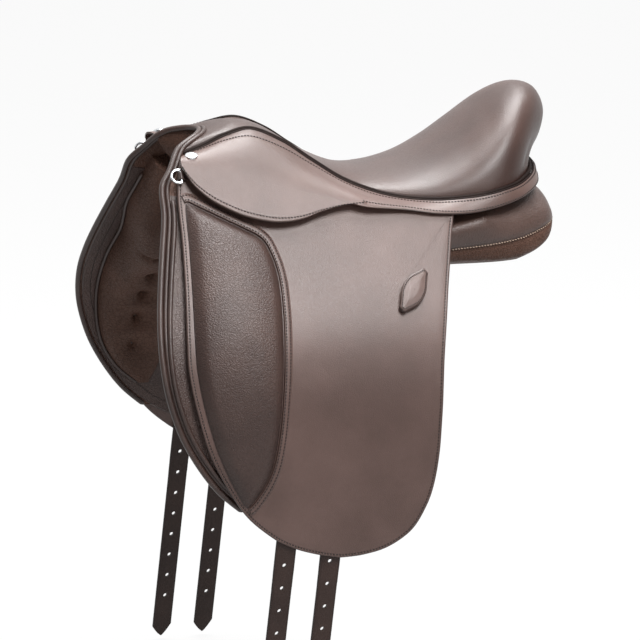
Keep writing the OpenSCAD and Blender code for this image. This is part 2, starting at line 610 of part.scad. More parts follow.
// Colours of the leathers and metals
leather = "#6d5650";
dark = "#4a3833";
steel = "#c4c6c8";
color("#caa46a") saddle_tree();
color("#8d9094") head_plate();
color("#d8d0c0") seat_webs();
color("#d8d0c0") girth_web_front();
color("#d8d0c0") girth_web_rear();
color("#e2d7a8") seat_foam();
color("#7a625b") seat_cover();
color(dark) seat_welt();  // seat_welt_left
color(dark) other_side() seat_welt();  // seat_welt_right
color(leather) skirt_band();  // skirt_band_left
color(leather) other_side() skirt_band();  // skirt_band_right
color(steel) pommel_studs();
color(dark) head_facing();
color(dark) head_piping();
color(dark) channel_lining();
color(dark) panel();  // panel_left
color(dark) other_side() panel();  // panel_right
color(dark) panel_front();  // panel_front_left
color(dark) other_side() panel_front();  // panel_front_right
color(leather) sweat_flap();  // sweat_flap_left
color(leather) other_side() sweat_flap();  // sweat_flap_right
color(leather) flap_root();  // flap_root_left
color(leather) other_side() flap_root();  // flap_root_right
color(steel) stirrup_bar();  // stirrup_bar_left
color(steel) other_side() stirrup_bar();  // stirrup_bar_right
color(steel) bar_rivets();
color(dark) strap_root(front_strap_x);  // strap_root_front_left
color(dark) strap_root(rear_strap_x);  // strap_root_rear_left
color(dark) other_side() strap_root(front_strap_x);  // strap_root_front_right
color(dark) other_side() strap_root(rear_strap_x);  // strap_root_rear_right
color(leather) flap();  // flap_left
color(leather) other_side() flap();  // flap_right
color("#75605a") knee_pad();  // knee_pad_left
color("#75605a") other_side() knee_pad();  // knee_pad_right
color(dark) flap_keeper();  // flap_keeper_left
color(dark) other_side() flap_keeper();  // flap_keeper_right
color(dark) dee_chape();  // dee_chape_left
color(dark) other_side() dee_chape();  // dee_chape_right
color(leather) skirt();  // skirt_left
color(leather) other_side() skirt();  // skirt_right
color(steel) dee_ring();  // dee_ring_left
color(steel) other_side() dee_ring();  // dee_ring_right
color(steel) bar_catch();  // bar_catch_left
color(steel) other_side() bar_catch();  // bar_catch_right
color(dark) girth_strap(front_strap_x);  // girth_strap_front_left
color(dark) girth_strap(rear_strap_x);  // girth_strap_rear_left
color(dark) other_side() girth_strap(front_strap_x);  // girth_strap_front_right
color(dark) other_side() girth_strap(rear_strap_x);  // girth_strap_rear_right
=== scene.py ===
import math

import bmesh
import bpy
import numpy as np
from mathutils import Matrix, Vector


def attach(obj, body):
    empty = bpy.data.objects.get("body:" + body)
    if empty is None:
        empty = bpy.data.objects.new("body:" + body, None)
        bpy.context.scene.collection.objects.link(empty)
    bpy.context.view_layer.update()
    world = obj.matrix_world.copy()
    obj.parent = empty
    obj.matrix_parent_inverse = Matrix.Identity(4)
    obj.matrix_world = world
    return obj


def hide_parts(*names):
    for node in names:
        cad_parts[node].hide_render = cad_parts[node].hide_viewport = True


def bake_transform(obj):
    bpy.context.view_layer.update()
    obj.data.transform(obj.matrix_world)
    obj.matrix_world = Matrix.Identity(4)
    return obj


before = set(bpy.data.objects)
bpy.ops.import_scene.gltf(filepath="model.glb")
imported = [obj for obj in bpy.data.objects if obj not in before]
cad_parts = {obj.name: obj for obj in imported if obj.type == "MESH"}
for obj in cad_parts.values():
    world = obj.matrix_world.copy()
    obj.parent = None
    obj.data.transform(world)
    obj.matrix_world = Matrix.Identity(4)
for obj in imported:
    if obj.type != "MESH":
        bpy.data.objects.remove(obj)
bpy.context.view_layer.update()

# Lengths below are millimetres in the saddle's own frame: x forward, y to the rider's left, z up.
MM = 0.001
SIDES = (("left", 1), ("right", -1))


# Curves and directions

def unit(v):
    return v / np.linalg.norm(v, axis=-1, keepdims=True)


def mix(a, b, t):
    return a + (b - a) * t


def hump(x, width):
    """1 at x 0, falling off smoothly on both sides."""
    return np.exp(-(x / width) ** 2)


def curve(knots, t):
    """Smooth curve through knots that sit at whole steps of t."""
    k = np.asarray(knots, float)
    t = np.asarray(t, float)
    last = len(k) - 1
    i = np.clip(np.floor(t).astype(int), 0, last - 1)
    u = (t - i)[..., None] if k.ndim > 1 else t - i
    a, b, c, d = k[np.clip(i - 1, 0, last)], k[i], k[i + 1], k[np.clip(i + 2, 0, last)]
    return b + u / 2 * (c - a + u * (2 * a - 5 * b + 4 * c - d + u * (3 * (b - c) + d - a)))


def sampled(knots, per_step=12):
    """Points along the smooth curve through the knots."""
    steps = len(knots) - 1
    return curve(knots, np.linspace(0, steps, steps * per_step + 1))


def rounded(corners, passes=3):
    """A closed line of points with its corners cut round."""
    p = np.asarray(corners, float)
    for _ in range(passes):
        q = np.roll(p, -1, 0)
        p = np.stack([mix(p, q, 0.25), mix(p, q, 0.75)], 1).reshape(-1, p.shape[1])
    return p


def spaced(line, count=None, pitch=None, closed=False):
    """The line's points at even distances along it, by count or by pitch."""
    p = np.asarray(line, float)
    if closed:
        p = np.vstack([p, p[:1]])
    far = np.concatenate([[0], np.cumsum(np.linalg.norm(np.diff(p, axis=0), axis=1))])
    if count is None:
        count = max(2, int(round(far[-1] / pitch)) + 1)
    at = np.linspace(0, far[-1], count + 1)[:-1] if closed else np.linspace(0, far[-1], count)
    return np.stack([np.interp(at, far, p[:, k]) for k in range(p.shape[1])], 1)


def inside(outline, distance):
    """A closed [x, z] outline moved inward by a distance."""
    ahead, behind = np.roll(outline, -1, 0), np.roll(outline, 1, 0)
    area = np.sum(outline[:, 0] * ahead[:, 1] - ahead[:, 0] * outline[:, 1])
    along = unit(ahead - behind)
    return outline + distance * np.sign(area) * np.stack([-along[:, 1], along[:, 0]], 1)


def edge_distance(points, outline):
    """Distance of each [x, z] point from the nearest stretch of a closed outline."""
    a, b = outline, np.roll(outline, -1, 0)
    d = b - a
    p = np.asarray(points, float).reshape(-1, 1, 2)
    t = np.clip(np.sum((p - a) * d, -1) / np.sum(d * d, -1), 0, 1)
    return np.linalg.norm(p - (a + t[..., None] * d), axis=-1).min(1).reshape(np.shape(points)[:-1])


# The side of the saddle: every layer lies at its own distance out of the flap's outer face. That face slopes
# down from under the seat and bends into the upright flank.

SLOPE_Y, SLOPE_Z, SLOPE_RUN = 127, 32, 0.85
FLANK_Y, BEND = 248, 50
FLAP_IN = -4
STRAP_OUT, STRAP_IN = -4.5, -8.5
SWEAT_OUT, SWEAT_IN = -8.8, -11.8
PANEL_OUT = -12.1
SKIRT_OUT, SKIRT_THICK = 12.5, 3.5


def past_flank(z):
    """How far the slope, drawn on straight, lies outside the flank at a height."""
    return SLOPE_Y + SLOPE_RUN * (SLOPE_Z - np.asarray(z, float)) - FLANK_Y


def side_n(z):
    """Outward direction of the side at a height."""
    d = past_flank(z)
    lean = SLOPE_RUN / 2 * (1 - d / np.hypot(d, BEND))
    return unit(np.stack([0 * lean, 0 * lean + 1, lean], -1))


def side(x, z, out):
    """Points at a distance out of the side's face."""
    x, z, out = np.broadcast_arrays(*(np.asarray(v, float) for v in (x, z, out)))
    d = past_flank(z)
    y = (d + 2 * FLANK_Y - np.hypot(d, BEND)) / 2
    return np.stack([x, y, z], -1) + out[..., None] * side_n(z)


def on_side(points, out):
    """The same for [x, z] points."""
    p = np.asarray(points, float)
    return side(p[..., 0], p[..., 1], out)


def layer_y(z, out):
    """Half width of a layer's face at a height."""
    a = z
    for _ in range(3):
        a = z - out * side_n(a)[..., 2]
    return side(0 * a, a, out)[..., 1]


# The skirt's fold is a straight line, and the side's face lies FOLD_DROP lower beside it
FOLD_FRONT, FOLD_REAR = side(250, 88, SKIRT_OUT), side(-80, 2, SKIRT_OUT)
FOLD_MIDDLE_Z = 50
FOLD_DROP = SKIRT_OUT * side_n(FOLD_MIDDLE_Z)[2]


def fold(x):
    """Point of the skirt's fold at a place along the saddle."""
    t = (np.asarray(x, float) - FOLD_REAR[0]) / (FOLD_FRONT[0] - FOLD_REAR[0])
    return FOLD_REAR + (FOLD_FRONT - FOLD_REAR) * t[..., None]


# Outlines on the side, as [x, z]

FLAP_FRONT = [[251, 86], [258, 57], [262, 17], [268, -27], [277, -85], [279, -123], [271, -172],
              [255, -226], [221, -288], [187, -322], [159, -339], [128, -350], [101, -356]]
FLAP_BACK = [[101, -356], [73, -355], [42, -348], [13, -330], [-5, -303], [-15, -276], [-22, -238],
             [-26, -193], [-32, -125], [-46, -65], [-61, -18], [-67, 0], [-72, 13], [-77, 26]]
SWEAT_FRONT = [[268, 66], [272, 36], [282, 1], [292, -35], [299, -66], [303, -98], [302, -132], [296, -163],
               [284, -198], [265, -233], [243, -263], [216, -288]]
SWEAT_BACK = [[216, -288], [182, -307], [146, -318], [108, -320], [72, -312], [44, -292], [26, -260],
              [14, -210], [4, -150], [-8, -90], [-24, -35], [-34, 0]]
SKIRT_EDGE = [[249, 85], [244, 74], [236, 62], [218, 47], [188, 32], [159, 24], [137, 22], [114, 24],
              [90, 30], [62, 35], [32, 36.5]]
PAD_FRONT = [[250, 53], [254, 17], [260, -27], [268, -85], [270, -123], [262, -172], [246, -226],
             [219, -283]]
PAD_BACK = [[163, 9], [155, -25], [158, -62], [165, -111], [170, -154], [176, -205], [186, -248],
            [212, -284]]
PAD_MIDDLE = np.array([212, -105])
LOBE_FRONT = [[244, 80], [249, 60], [256, 36], [262, 12], [262, -27], [274, -70], [281, -130],
              [276, -189], [257, -230], [228, -258]]
LOBE_BACK = [[204, 80], [200, 60], [197, 36], [198, 12], [196, -27], [190, -70], [188, -130],
             [190, -189], [197, -228], [212, -258]]
TUFTS = np.array([[222, -82], [228, -122], [233, -162], [237, -202]], float)

# Foot of the skirt's band at the seat's stations: on the fold first, then free round the back
FOLD_X = [249, 232, 205, 170, 130, 90, 55, 32]
BAND_LOW = [[-15, 131, 33], [-55, 135, 26], [-92, 134, 23], [-122, 131, 25], [-148, 125, 29],
            [-169, 115, 33], [-186, 100, 37], [-200, 80, 40], [-209, 56, 42], [-216, 31, 43],
            [-218, 9, 43], [-219, 0.3, 43]]
BAND_FOOT = np.vstack([fold(FOLD_X), BAND_LOW])

# The seat: its middle line and its edge line at matching stations, from the head round to the back

SEAT_MID = [[200, 0, 116], [180, 0, 123], [160, 0, 126], [128, 0, 117], [97, 0, 96], [62, 0, 76],
            [28, 0, 63], [0, 0, 59], [-31, 0, 61], [-70, 0, 72], [-110, 0, 94], [-145, 0, 120],
            [-175, 0, 143], [-198, 0, 152], [-219, 0, 146], [-231, 0, 124], [-230, 0, 100],
            [-224, 0, 80], [-215, 0, 66], [-208, 0, 55]]
SEAT_EDGE = [[240, 47, 99], [213, 42, 107], [184, 36, 117], [150, 32, 122], [112, 38, 106], [77, 48, 82],
             [43, 60, 60], [8, 76, 46], [-25, 91, 39], [-62, 105, 37], [-95, 113, 39], [-122, 115, 42],
             [-145, 111, 46], [-163, 102, 49], [-178, 88, 53], [-190, 70, 56], [-198, 50, 58],
             [-204, 28, 59], [-207, 9, 59], [-208, 0.3, 59]]
LAST_RIM = len(SEAT_EDGE) - 1
WELT_R = 3
BAND_GAP = 1.8
# Part of a station over which directions are taken
STEP = 0.05
DISH_STATION, DISH_RUN = 4.3, 2


def edge_out(i):
    """Level direction out of the seat's edge at a station."""
    i = np.asarray(i, float)
    t = curve(SEAT_EDGE, np.minimum(LAST_RIM, i + STEP)) - curve(SEAT_EDGE, np.maximum(0, i - STEP))
    return unit(np.stack([t[..., 1], -t[..., 0], 0 * t[..., 0]], -1))


def seat(i, q, depth=0.0):
    """Point of the seat at station i and share q of the half width, at a depth under the cover."""
    i, q, depth = np.broadcast_arrays(*(np.asarray(v, float) for v in (i, q, depth)))
    dish = np.clip(1.6 - np.abs(i - DISH_STATION) / DISH_RUN, 0, 1)
    along = curve(SEAT_MID, i + STEP) - curve(SEAT_MID, np.maximum(0, i - STEP))
    mid_n = unit(np.stack([along[..., 2], 0 * i, -along[..., 0]], -1))
    upright = np.maximum(dish, 1 - i / 2)
    rim_n = mix(0.8, 0.1, upright)[..., None] * edge_out(i)
    rim_n[..., 2] += mix(0.6, 1, upright)
    c = curve(SEAT_MID, i) - depth[..., None] * mid_n
    w = curve(SEAT_EDGE, i) - depth[..., None] * rim_n
    y = np.sin(np.pi / 2 * np.abs(q))
    rise = np.maximum(np.cos(np.pi / 2 * np.abs(q)), 0) ** (1 + dish)
    x = mix(c[..., 0], w[..., 0], y * y)
    return np.stack([x, w[..., 1] * np.sign(q) * y, mix(w[..., 2], c[..., 2], rise)], -1)


def beside(i, out, down):
    """Point beside the seat's edge, out of it and below it."""
    return curve(SEAT_EDGE, i) + out * edge_out(i) - np.array([0, 0, down])


def band_frame(i):
    """Ends of the skirt's band at a station: the point at the welt and the point at the foot, and the
    directions in which the leather leaves the one and reaches the other."""
    start, end = beside(i, 2 * WELT_R + BAND_GAP, 1), curve(BAND_FOOT, i)
    bulge = 1.5 + 7 * np.sin(np.pi * np.clip((i + 0.6) / 7.6, 0, 1))
    turn = np.clip((i - 7) / 3, 0, 1)[..., None]
    lift = 0.6 * mix(np.array([0.0, 1, 0]), edge_out(i), turn) + np.array([0, 0, 0.8])
    crown = np.pi * bulge[..., None] * lift
    hang = side_n(end[..., 2] - FOLD_DROP)
    hang = np.stack([0 * i, hang[..., 2], -hang[..., 1]], -1)
    rear = np.clip((i - 6.2) / 2.2, 0, 1)[..., None]
    arrive = mix(hang, unit(end - start - crown), rear * rear * (3 - 2 * rear))
    return start, end, unit(end - start + crown), unit(arrive)


def band(i, v):
    """Outer face of the skirt beside the seat, from the welt at v 0 to the fold at v 1, where it runs into
    the belly."""
    i, v = np.broadcast_arrays(np.asarray(i, float), np.asarray(v, float))
    start, end, leave, arrive = band_frame(i)
    reach = 0.36 * np.linalg.norm(end - start, axis=-1, keepdims=True)
    v = v[..., None]
    u = 1 - v
    ends = u ** 3 * start + 3 * u * u * v * (start + reach * leave)
    return ends + 3 * u * v * v * (end - reach * arrive) + v ** 3 * end


def band_normals(at, v):
    """Outward directions of the band along one line of it."""
    run = band(at + 0.02, v) - band(at - 0.02, v)
    down = band(at, v + 0.02) - band(at, v - 0.02)
    return unit(np.cross(down, run)) * np.sign(np.cross(down, run)[:, 2].mean())


def surface_normals(points):
    """Outward directions of a grid of points, away from the saddle's inside."""
    n = unit(np.cross(np.gradient(points, axis=1), np.gradient(points, axis=0)))
    away = np.sum(n * (points - np.array([0, 0, -40])), -1).mean()
    return n * np.sign(away)


# Meshes

SHARP = math.radians(48)
# Points closer than these, in metres, are joined or dissolved
WELD, SLIVER = 2e-6, 1e-6


def piece(name, points, faces, finish, flip=1, edge=None):
    """A smooth closed mesh from points in millimetres; flip -1 makes the right side's mirror image. edge says
    how much each point is darkened: burnished edges, and painted shade in the gap round the knee pad."""
    points = np.asarray(points, float).reshape(-1, 3)
    mesh = bpy.data.meshes.new(name)
    mesh.from_pydata((points * MM * (1, flip, 1)).tolist(), [], faces)
    if edge is not None:
        burnish_and_painted_shade = mesh.attributes.new("edge", "FLOAT", "POINT")
        burnish_and_painted_shade.data.foreach_set("value", np.asarray(edge, np.float32).ravel())
    work = bmesh.new()
    work.from_mesh(mesh)
    bmesh.ops.remove_doubles(work, verts=work.verts, dist=WELD)
    bmesh.ops.dissolve_degenerate(work, edges=work.edges, dist=SLIVER)
    bmesh.ops.recalc_face_normals(work, faces=work.faces)
    if work.calc_volume(signed=True) < 0:
        bmesh.ops.reverse_faces(work, faces=work.faces)
    work.to_mesh(mesh)
    work.free()
    mesh.polygons.foreach_set("use_smooth", [True] * len(mesh.polygons))
    mesh.set_sharp_from_angle(angle=SHARP)
    mesh.materials.append(finish)
    made = bpy.data.objects.new(name, mesh)
    bpy.context.scene.collection.objects.link(made)
    return made


def grid(rows, columns, start=0, wrap=False):
    """Faces of a grid of points, row by row; wrap joins the last column to the first."""
    ends = columns if wrap else columns - 1
    return [(start + r * columns + c, start + r * columns + (c + 1) % columns,
             start + (r + 1) * columns + (c + 1) % columns, start + (r + 1) * columns + c)
            for r in range(rows - 1) for c in range(ends)]


def sheet(name, top, low, finish, flip=1, edge=None):
    """Closed piece between two grids of points with the same rows and columns."""
    rows, columns = top.shape[:2]
    count = rows * columns
    faces = grid(rows, columns) + [f[::-1] for f in grid(rows, columns, count)]
    rim = ([(0, c) for c in range(columns)] + [(r, columns - 1) for r in range(1, rows)]
           + [(rows - 1, c) for c in range(columns - 2, -1, -1)] + [(r, 0) for r in range(rows - 2, 0, -1)])
    ring = [r * columns + c for r, c in rim]
    faces += [(a, b, b + count, a + count) for a, b in zip(ring, ring[1:] + ring[:1])]
    if edge is not None:
        edge = np.concatenate([edge.ravel(), edge.ravel()])
    return piece(name, np.concatenate([top.reshape(-1, 3), low.reshape(-1, 3)]), faces, finish, flip, edge)


TUBE_END = 0.55


def tube(name, line, radius, finish, flip=1, sides=10):
    """Round cord along a line, drawn in at its ends."""
    line = np.asarray(line, float)
    t = unit(np.gradient(line, axis=0))
    up = np.array([0, 0, 1.0]) if abs(t[0, 2]) < 0.8 else np.array([0, 1.0, 0])
    frames = []
    for k in range(len(line)):
        across = np.cross(t[k], up)
        across /= np.linalg.norm(across)
        up = np.cross(across, t[k])
        frames.append((across, up))
    size = np.ones(len(line))
    size[[0, -1]] = TUBE_END
    turn = np.linspace(0, 2 * np.pi, sides, endpoint=False)
    rings = np.array([p + s * radius * (np.cos(turn)[:, None] * a + np.sin(turn)[:, None] * u)
                      for p, s, (a, u) in zip(line, size, frames)])
    faces = grid(len(line), sides, wrap=True)
    faces += [tuple(range(sides)), tuple(range((len(line) - 1) * sides, len(line) * sides))]
    return piece(name, rings, faces, finish, flip)


# Distances from a plate's edge: its first rings of points, and the row that is sewn in a groove
BORDER = (0, 0.2, 0.7, 1.5, 2.3, 3.0, 3.7, 4.4, 5.4)
SEWN, GROOVE_HALF, BURNISHED = 3.7, 0.8, 1.3


def plate(name, outline, middle, low, high, finish, flip=1, count=300, groove=0.0, rings=20, border=BORDER,
          raised=None, fuller=0.0):
    """Leather plate on the side, between two distances out, worked in rings from its rounded edge inward,
    with a sewing groove beside the edge. raised adds height to the outer face by [x, z] place. fuller
    thickens the plate inward, all but its rounded edge and its very middle."""
    outline = spaced(outline, count, closed=True)
    middle = np.asarray(middle, float)
    places = [inside(outline, d) for d in border]
    places += [mix(places[-1], middle, s) for s in np.linspace(0, 0.97, rings)[1:]]
    distance = np.array(list(border) + [border[-1] + 4] * (rings - 1))
    half = (high - low) / 2
    rim = half * (1 - np.sqrt(1 - (1 - np.minimum(distance / half, 1)) ** 2))
    dip = groove * hump(distance - SEWN, GROOVE_HALF)
    places = np.array(places)
    top = high - (rim + dip)[:, None] + np.zeros(places.shape[:2])
    under = low + rim[:, None] + np.zeros(places.shape[:2])
    if raised is not None:
        top = top + raised(places) * (rim == 0)[:, None]
    under = under - fuller * (distance > 1)[:, None]
    rows, columns = places.shape[:2]
    points = np.concatenate([on_side(places, top).reshape(-1, 3), on_side(places, under).reshape(-1, 3),
                             side(middle[0], middle[1], high)[None], side(middle[0], middle[1], low)[None]])
    total = rows * columns
    faces = grid(rows, columns, wrap=True) + [f[::-1] for f in grid(rows, columns, total, wrap=True)]
    last = (rows - 1) * columns
    for c in range(columns):
        n = (c + 1) % columns
        faces += [(last + c, last + n, 2 * total), (total + last + n, total + last + c, 2 * total + 1)]
    burnish_and_painted_shade = np.repeat(np.exp(-distance / BURNISHED), columns)
    return piece(name, points, faces, finish, flip, np.concatenate([burnish_and_painted_shade, burnish_and_painted_shade, [0, 0]]))


# One stitch, ring by ring: place along it, thickness, and height over the leather
STITCH = ((-0.37, 0.4, -0.5), (-0.25, 0.9, 0.35), (0, 1, 0.6), (0.25, 0.9, 0.35), (0.37, 0.4, -0.5))
STITCH_SIDES, STITCH_SLANT = 6, 0.12


def stitches(name, line, out, finish, flip=1, pitch=3.8, thick=0.75):
    """A sewn row: each stitch is a short thread that dips into the leather at both ends."""
    line, out = np.asarray(line, float), np.asarray(out, float)
    ends = spaced(np.hstack([line, out]), pitch=pitch)
    points, faces = [], []
    turn = np.linspace(0, 2 * np.pi, STITCH_SIDES, endpoint=False)
    for a, b in zip(ends[:-1], ends[1:]):
        mid, run, up = (a[:3] + b[:3]) / 2, b[:3] - a[:3], unit(a[3:] + b[3:])
        across = unit(np.cross(run, up))
        run = run + STITCH_SLANT * np.linalg.norm(run) * across
        start = len(points)
        for s, r, h in STITCH:
            centre = mid + s * run + h * thick * up
            points += [centre + r * thick * (np.cos(k) * across + np.sin(k) * up) for k in turn]
        faces += grid(len(STITCH), STITCH_SIDES, start, wrap=True)
        faces += [tuple(range(start, start + STITCH_SIDES))[::-1],
                  tuple(range(len(points) - STITCH_SIDES, len(points)))]
    return piece(name, points, faces, finish, flip)


def side_row(name, path, out, finish, flip, **how):
    """A sewn row on the side, along [x, z] points at one distance out."""
    path = np.asarray(path, float)
    return stitches(name, on_side(path, out), side_n(path[:, 1]), finish, flip, **how)


# Finishes

class Field:
    """A value that changes over a surface, so that shader maths reads as plain sums."""

    def __init__(self, wiring, socket):
        self.wiring, self.socket = wiring, socket

    def maths(self, operation, *values):
        return self.wiring.node("Math", {"operation": operation}, dict(enumerate(values)))

    def __add__(self, other):
        return self.maths("ADD", self, other)

    def __sub__(self, other):
        return self.maths("SUBTRACT", self, other)

    def __rsub__(self, other):
        return self.maths("SUBTRACT", other, self)

    def __mul__(self, other):
        return self.maths("MULTIPLY", self, other)

    def __or__(self, other):
        return self.maths("MAXIMUM", self, other)

    __radd__ = __add__
    __rmul__ = __mul__

    def between(self, low, high):
        return self.wiring.node("MapRange", {"interpolation_type": "SMOOTHSTEP"},
                                {"Value": self, "From Min": low, "From Max": high})


class Wiring:
    """A tree of shader nodes, with one method that adds any node."""

    def __init__(self, tree):
        self.tree = tree

    def node(self, kind, settings=None, inputs=None, output=0):
        made = self.tree.nodes.new("ShaderNode" + kind)
        for key, value in (settings or {}).items():
            setattr(made, key, value)
        for key, value in (inputs or {}).items():
            self.fill(made.inputs[key], value)
        return Field(self, made.outputs[output])

    def fill(self, socket, value):
        if isinstance(value, Field):
            self.tree.links.new(value.socket, socket)
        else:
            socket.default_value = value


class Finish(Wiring):
    """A material made of nodes."""

    def __init__(self, name):
        self.material = bpy.data.materials.new(name)
        self.material.use_nodes = True
        super().__init__(self.material.node_tree)
        self.shader = self.tree.nodes["Principled BSDF"]
        self.place = self.node("TexCoord", output="Object")

    def surface(self, **sockets):
        for key, value in sockets.items():
            self.fill(self.shader.inputs[key.replace("_", " ").title().replace("Ior", "IOR")], value)
        return self.material

    def noise(self, scale, detail=3.0, rough=0.5, stretch=None):
        place = self.place
        if stretch:
            place = self.node("Mapping", None, {"Vector": place, "Scale": stretch})
        return self.node("TexNoise", None,
                         {"Vector": place, "Scale": scale, "Detail": detail, "Roughness": rough})

    def cells(self, scale, feature="F1"):
        warp = self.node("TexNoise", None, {"Vector": self.place, "Scale": scale * 0.6, "Detail": 2.0},
                         output="Color")
        place = self.node("VectorMath", {"operation": "MULTIPLY_ADD"},
                          {0: warp, 1: (0.9 / scale,) * 3, 2: self.place})
        return self.node("TexVoronoi", {"feature": feature}, {"Vector": place, "Scale": scale})

    def blend(self, share, first, second):
        return self.node("Mix", {"data_type": "RGBA"}, {0: share, 6: first, 7: second}, output=2)

    def bump(self, height, distance, strength=1.0, under=None):
        inputs = {"Height": height, "Distance": distance, "Strength": strength}
        if under is not None:
            inputs["Normal"] = under
        return self.node("Bump", None, inputs)

    def edge(self):
        return self.node("Attribute", {"attribute_name": "edge"}, output="Fac")


def tone(r, g, b):
    """A colour given as it looks on a screen."""
    shares = [c / 255 for c in (r, g, b)]
    return tuple(c / 12.92 if c <= 0.04 else ((c + 0.055) / 1.055) ** 2.4 for c in shares) + (1.0,)


def darker(colour, share):
    return tuple(c * share for c in colour[:3]) + (1.0,)


def leather(name, deep, pale, roughness, grain, cell, coat, cloud, shine=0.4):
    """Dyed hide: cloudy tone, edges darkened where the edge attribute says (burnished edges, and painted
    shade in the gap round the knee pad), and a grain of warped cells with fine creases. cell and cloud are
    the scales of the grain and of the tone, and grain is the grain's depth."""
    finish = Finish(name)
    clouds = finish.noise(cloud, 4.0, 0.55)
    flecks = finish.noise(260.0, 2.0)
    share = clouds.between(0.3, 0.72) * 0.75 + flecks * 0.25
    colour = finish.blend(share, deep, pale)
    pebbles = finish.cells(cell)
    creases = finish.cells(cell * 0.45, "DISTANCE_TO_EDGE")
    lines = creases.between(0.0, 0.12)
    colour = finish.blend((1 - lines) * 0.16 * grain, colour, darker(deep, 0.4))
    # Darker where the edge attribute says: burnished edges, and painted shade of the gap round the knee pad.
    colour = finish.blend(finish.edge() * 0.8, colour, darker(deep, 0.3))
    height = (1 - pebbles) * 0.8 + lines * 0.3 + finish.noise(cell * 1.7, 2.0) * 0.5
    normal = finish.bump(height, 0.0007 * grain, 0.6, finish.bump(clouds, 0.0012, 0.2))
    gloss = roughness + (flecks - 0.5) * 0.16 + (1 - lines) * 0.1 * grain
    return finish.surface(base_color=colour, roughness=gloss, normal=normal, coat_weight=coat,
                          coat_roughness=0.35, specular_ior_level=shine)


def thread(name, deep, pale):
    """Waxed linen thread with its twist."""
    finish = Finish(name)
    twist = finish.node("TexWave", {"bands_direction": "DIAGONAL"},
                        {"Vector": finish.place, "Scale": 900.0, "Distortion": 1.5})
    return finish.surface(base_color=finish.blend(twist * 0.6 + finish.noise(300.0) * 0.4, deep, pale),
                          roughness=0.62 + twist * 0.12, normal=finish.bump(twist, 0.0002, 0.6))


def metal(name, deep, pale, roughness, brushed):
    """Polished or brushed metal with faint rubbing marks."""
    finish = Finish(name)
    rubs = finish.noise(180.0, 4.0, 0.6, (1.0, brushed, brushed))
    smear = finish.noise(35.0, 3.0)
    return finish.surface(base_color=finish.blend(smear.between(0.3, 0.7), deep, pale), metallic=1.0,
                          roughness=roughness + rubs * 0.12 + smear * 0.06,
                          normal=finish.bump(rubs, 0.0001, 0.3))


def beech(name):
    """Laminated wood of the tree."""
    finish = Finish(name)
    rings = finish.node("TexWave", {"bands_direction": "Z"},
                        {"Vector": finish.place, "Scale": 60.0, "Distortion": 3.0, "Detail": 2.0})
    fibres = finish.noise(120.0, 4.0, 0.6, (0.06, 1.0, 1.0))
    colour = finish.blend(rings * 0.5 + fibres * 0.5, tone(150, 112, 68), tone(205, 166, 112))
    return finish.surface(base_color=colour, roughness=0.5 + fibres * 0.2,
                          normal=finish.bump(fibres, 0.0004, 0.5))


def woven(name, deep, pale):
    """Strong woven webbing."""
    finish = Finish(name)
    ribs = finish.node("TexWave", {"bands_direction": "X"}, {"Vector": finish.place, "Scale": 220.0})
    picks = finish.node("TexWave", {"bands_direction": "Y"}, {"Vector": finish.place, "Scale": 150.0})
    weave = ribs * picks
    return finish.surface(base_color=finish.blend(weave * 0.7 + finish.noise(40.0) * 0.3, deep, pale),
                          roughness=0.85 - weave * 0.1, normal=finish.bump(weave, 0.0006, 0.7))


CALF = leather("calf", tone(72, 53, 47), tone(94, 73, 67), roughness=0.41, grain=0.3, cell=900.0,
               coat=0.1, cloud=9.0, shine=0.45)
SEAT_HIDE = leather("seat_hide", tone(52, 35, 30), tone(68, 48, 42), roughness=0.42, grain=0.4, cell=700.0,
                    coat=0.15, cloud=12.0, shine=0.45)
GRAINED = leather("grained", tone(52, 35, 30), tone(72, 53, 47), roughness=0.44, grain=1.6, cell=520.0,
                  coat=0.1, cloud=14.0)
PANEL_HIDE = leather("panel_hide", tone(62, 44, 38), tone(84, 64, 57), roughness=0.4, grain=1.2, cell=560.0,
                     coat=0.2, cloud=14.0)
LINING = leather("lining", tone(68, 46, 36), tone(92, 66, 55), roughness=0.5, grain=2.0, cell=420.0,
                 coat=0.0, cloud=14.0, shine=0.22)
PIPING = leather("piping", tone(44, 30, 26), tone(60, 44, 39), roughness=0.4, grain=0.4, cell=800.0,
                 coat=0.12, cloud=20.0)
WELT = leather("welt", tone(22, 14, 12), tone(34, 24, 21), roughness=0.6, grain=0.3, cell=800.0,
               coat=0.0, cloud=20.0, shine=0.08)
STRAP = leather("strap", tone(40, 27, 23), tone(54, 39, 34), roughness=0.5, grain=0.5, cell=700.0,
                coat=0.0, cloud=18.0, shine=0.3)
DARK_THREAD = thread("dark_thread", tone(26, 18, 16), tone(48, 35, 31))
TAN_THREAD = thread("tan_thread", tone(140, 116, 100), tone(182, 160, 144))
NICKEL = metal("nickel", tone(205, 208, 212), tone(235, 236, 238), 0.14, 1.0)
STEEL = metal("steel", tone(168, 170, 174), tone(202, 204, 207), 0.24, 8.0)
WOOD = beech("wood")
WEB = woven("web", tone(170, 158, 138), tone(214, 205, 188))


def place(made, body, slot, *nodes):
    """Let a piece ride on a body and hide the nodes that it stands for; slot is not used."""
    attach(made, body)
    if nodes:
        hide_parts(*nodes)
    return made


# Seat, welts and skirts

COVER_THICK = 2.4
PLEAT_DEEP, PLEAT_STATION, PLEAT_LEAN, PLEAT_RUN = 3.6, 14.4, 1.6, 0.5
TUCK_FROM, TUCK_RUN = 8, 2


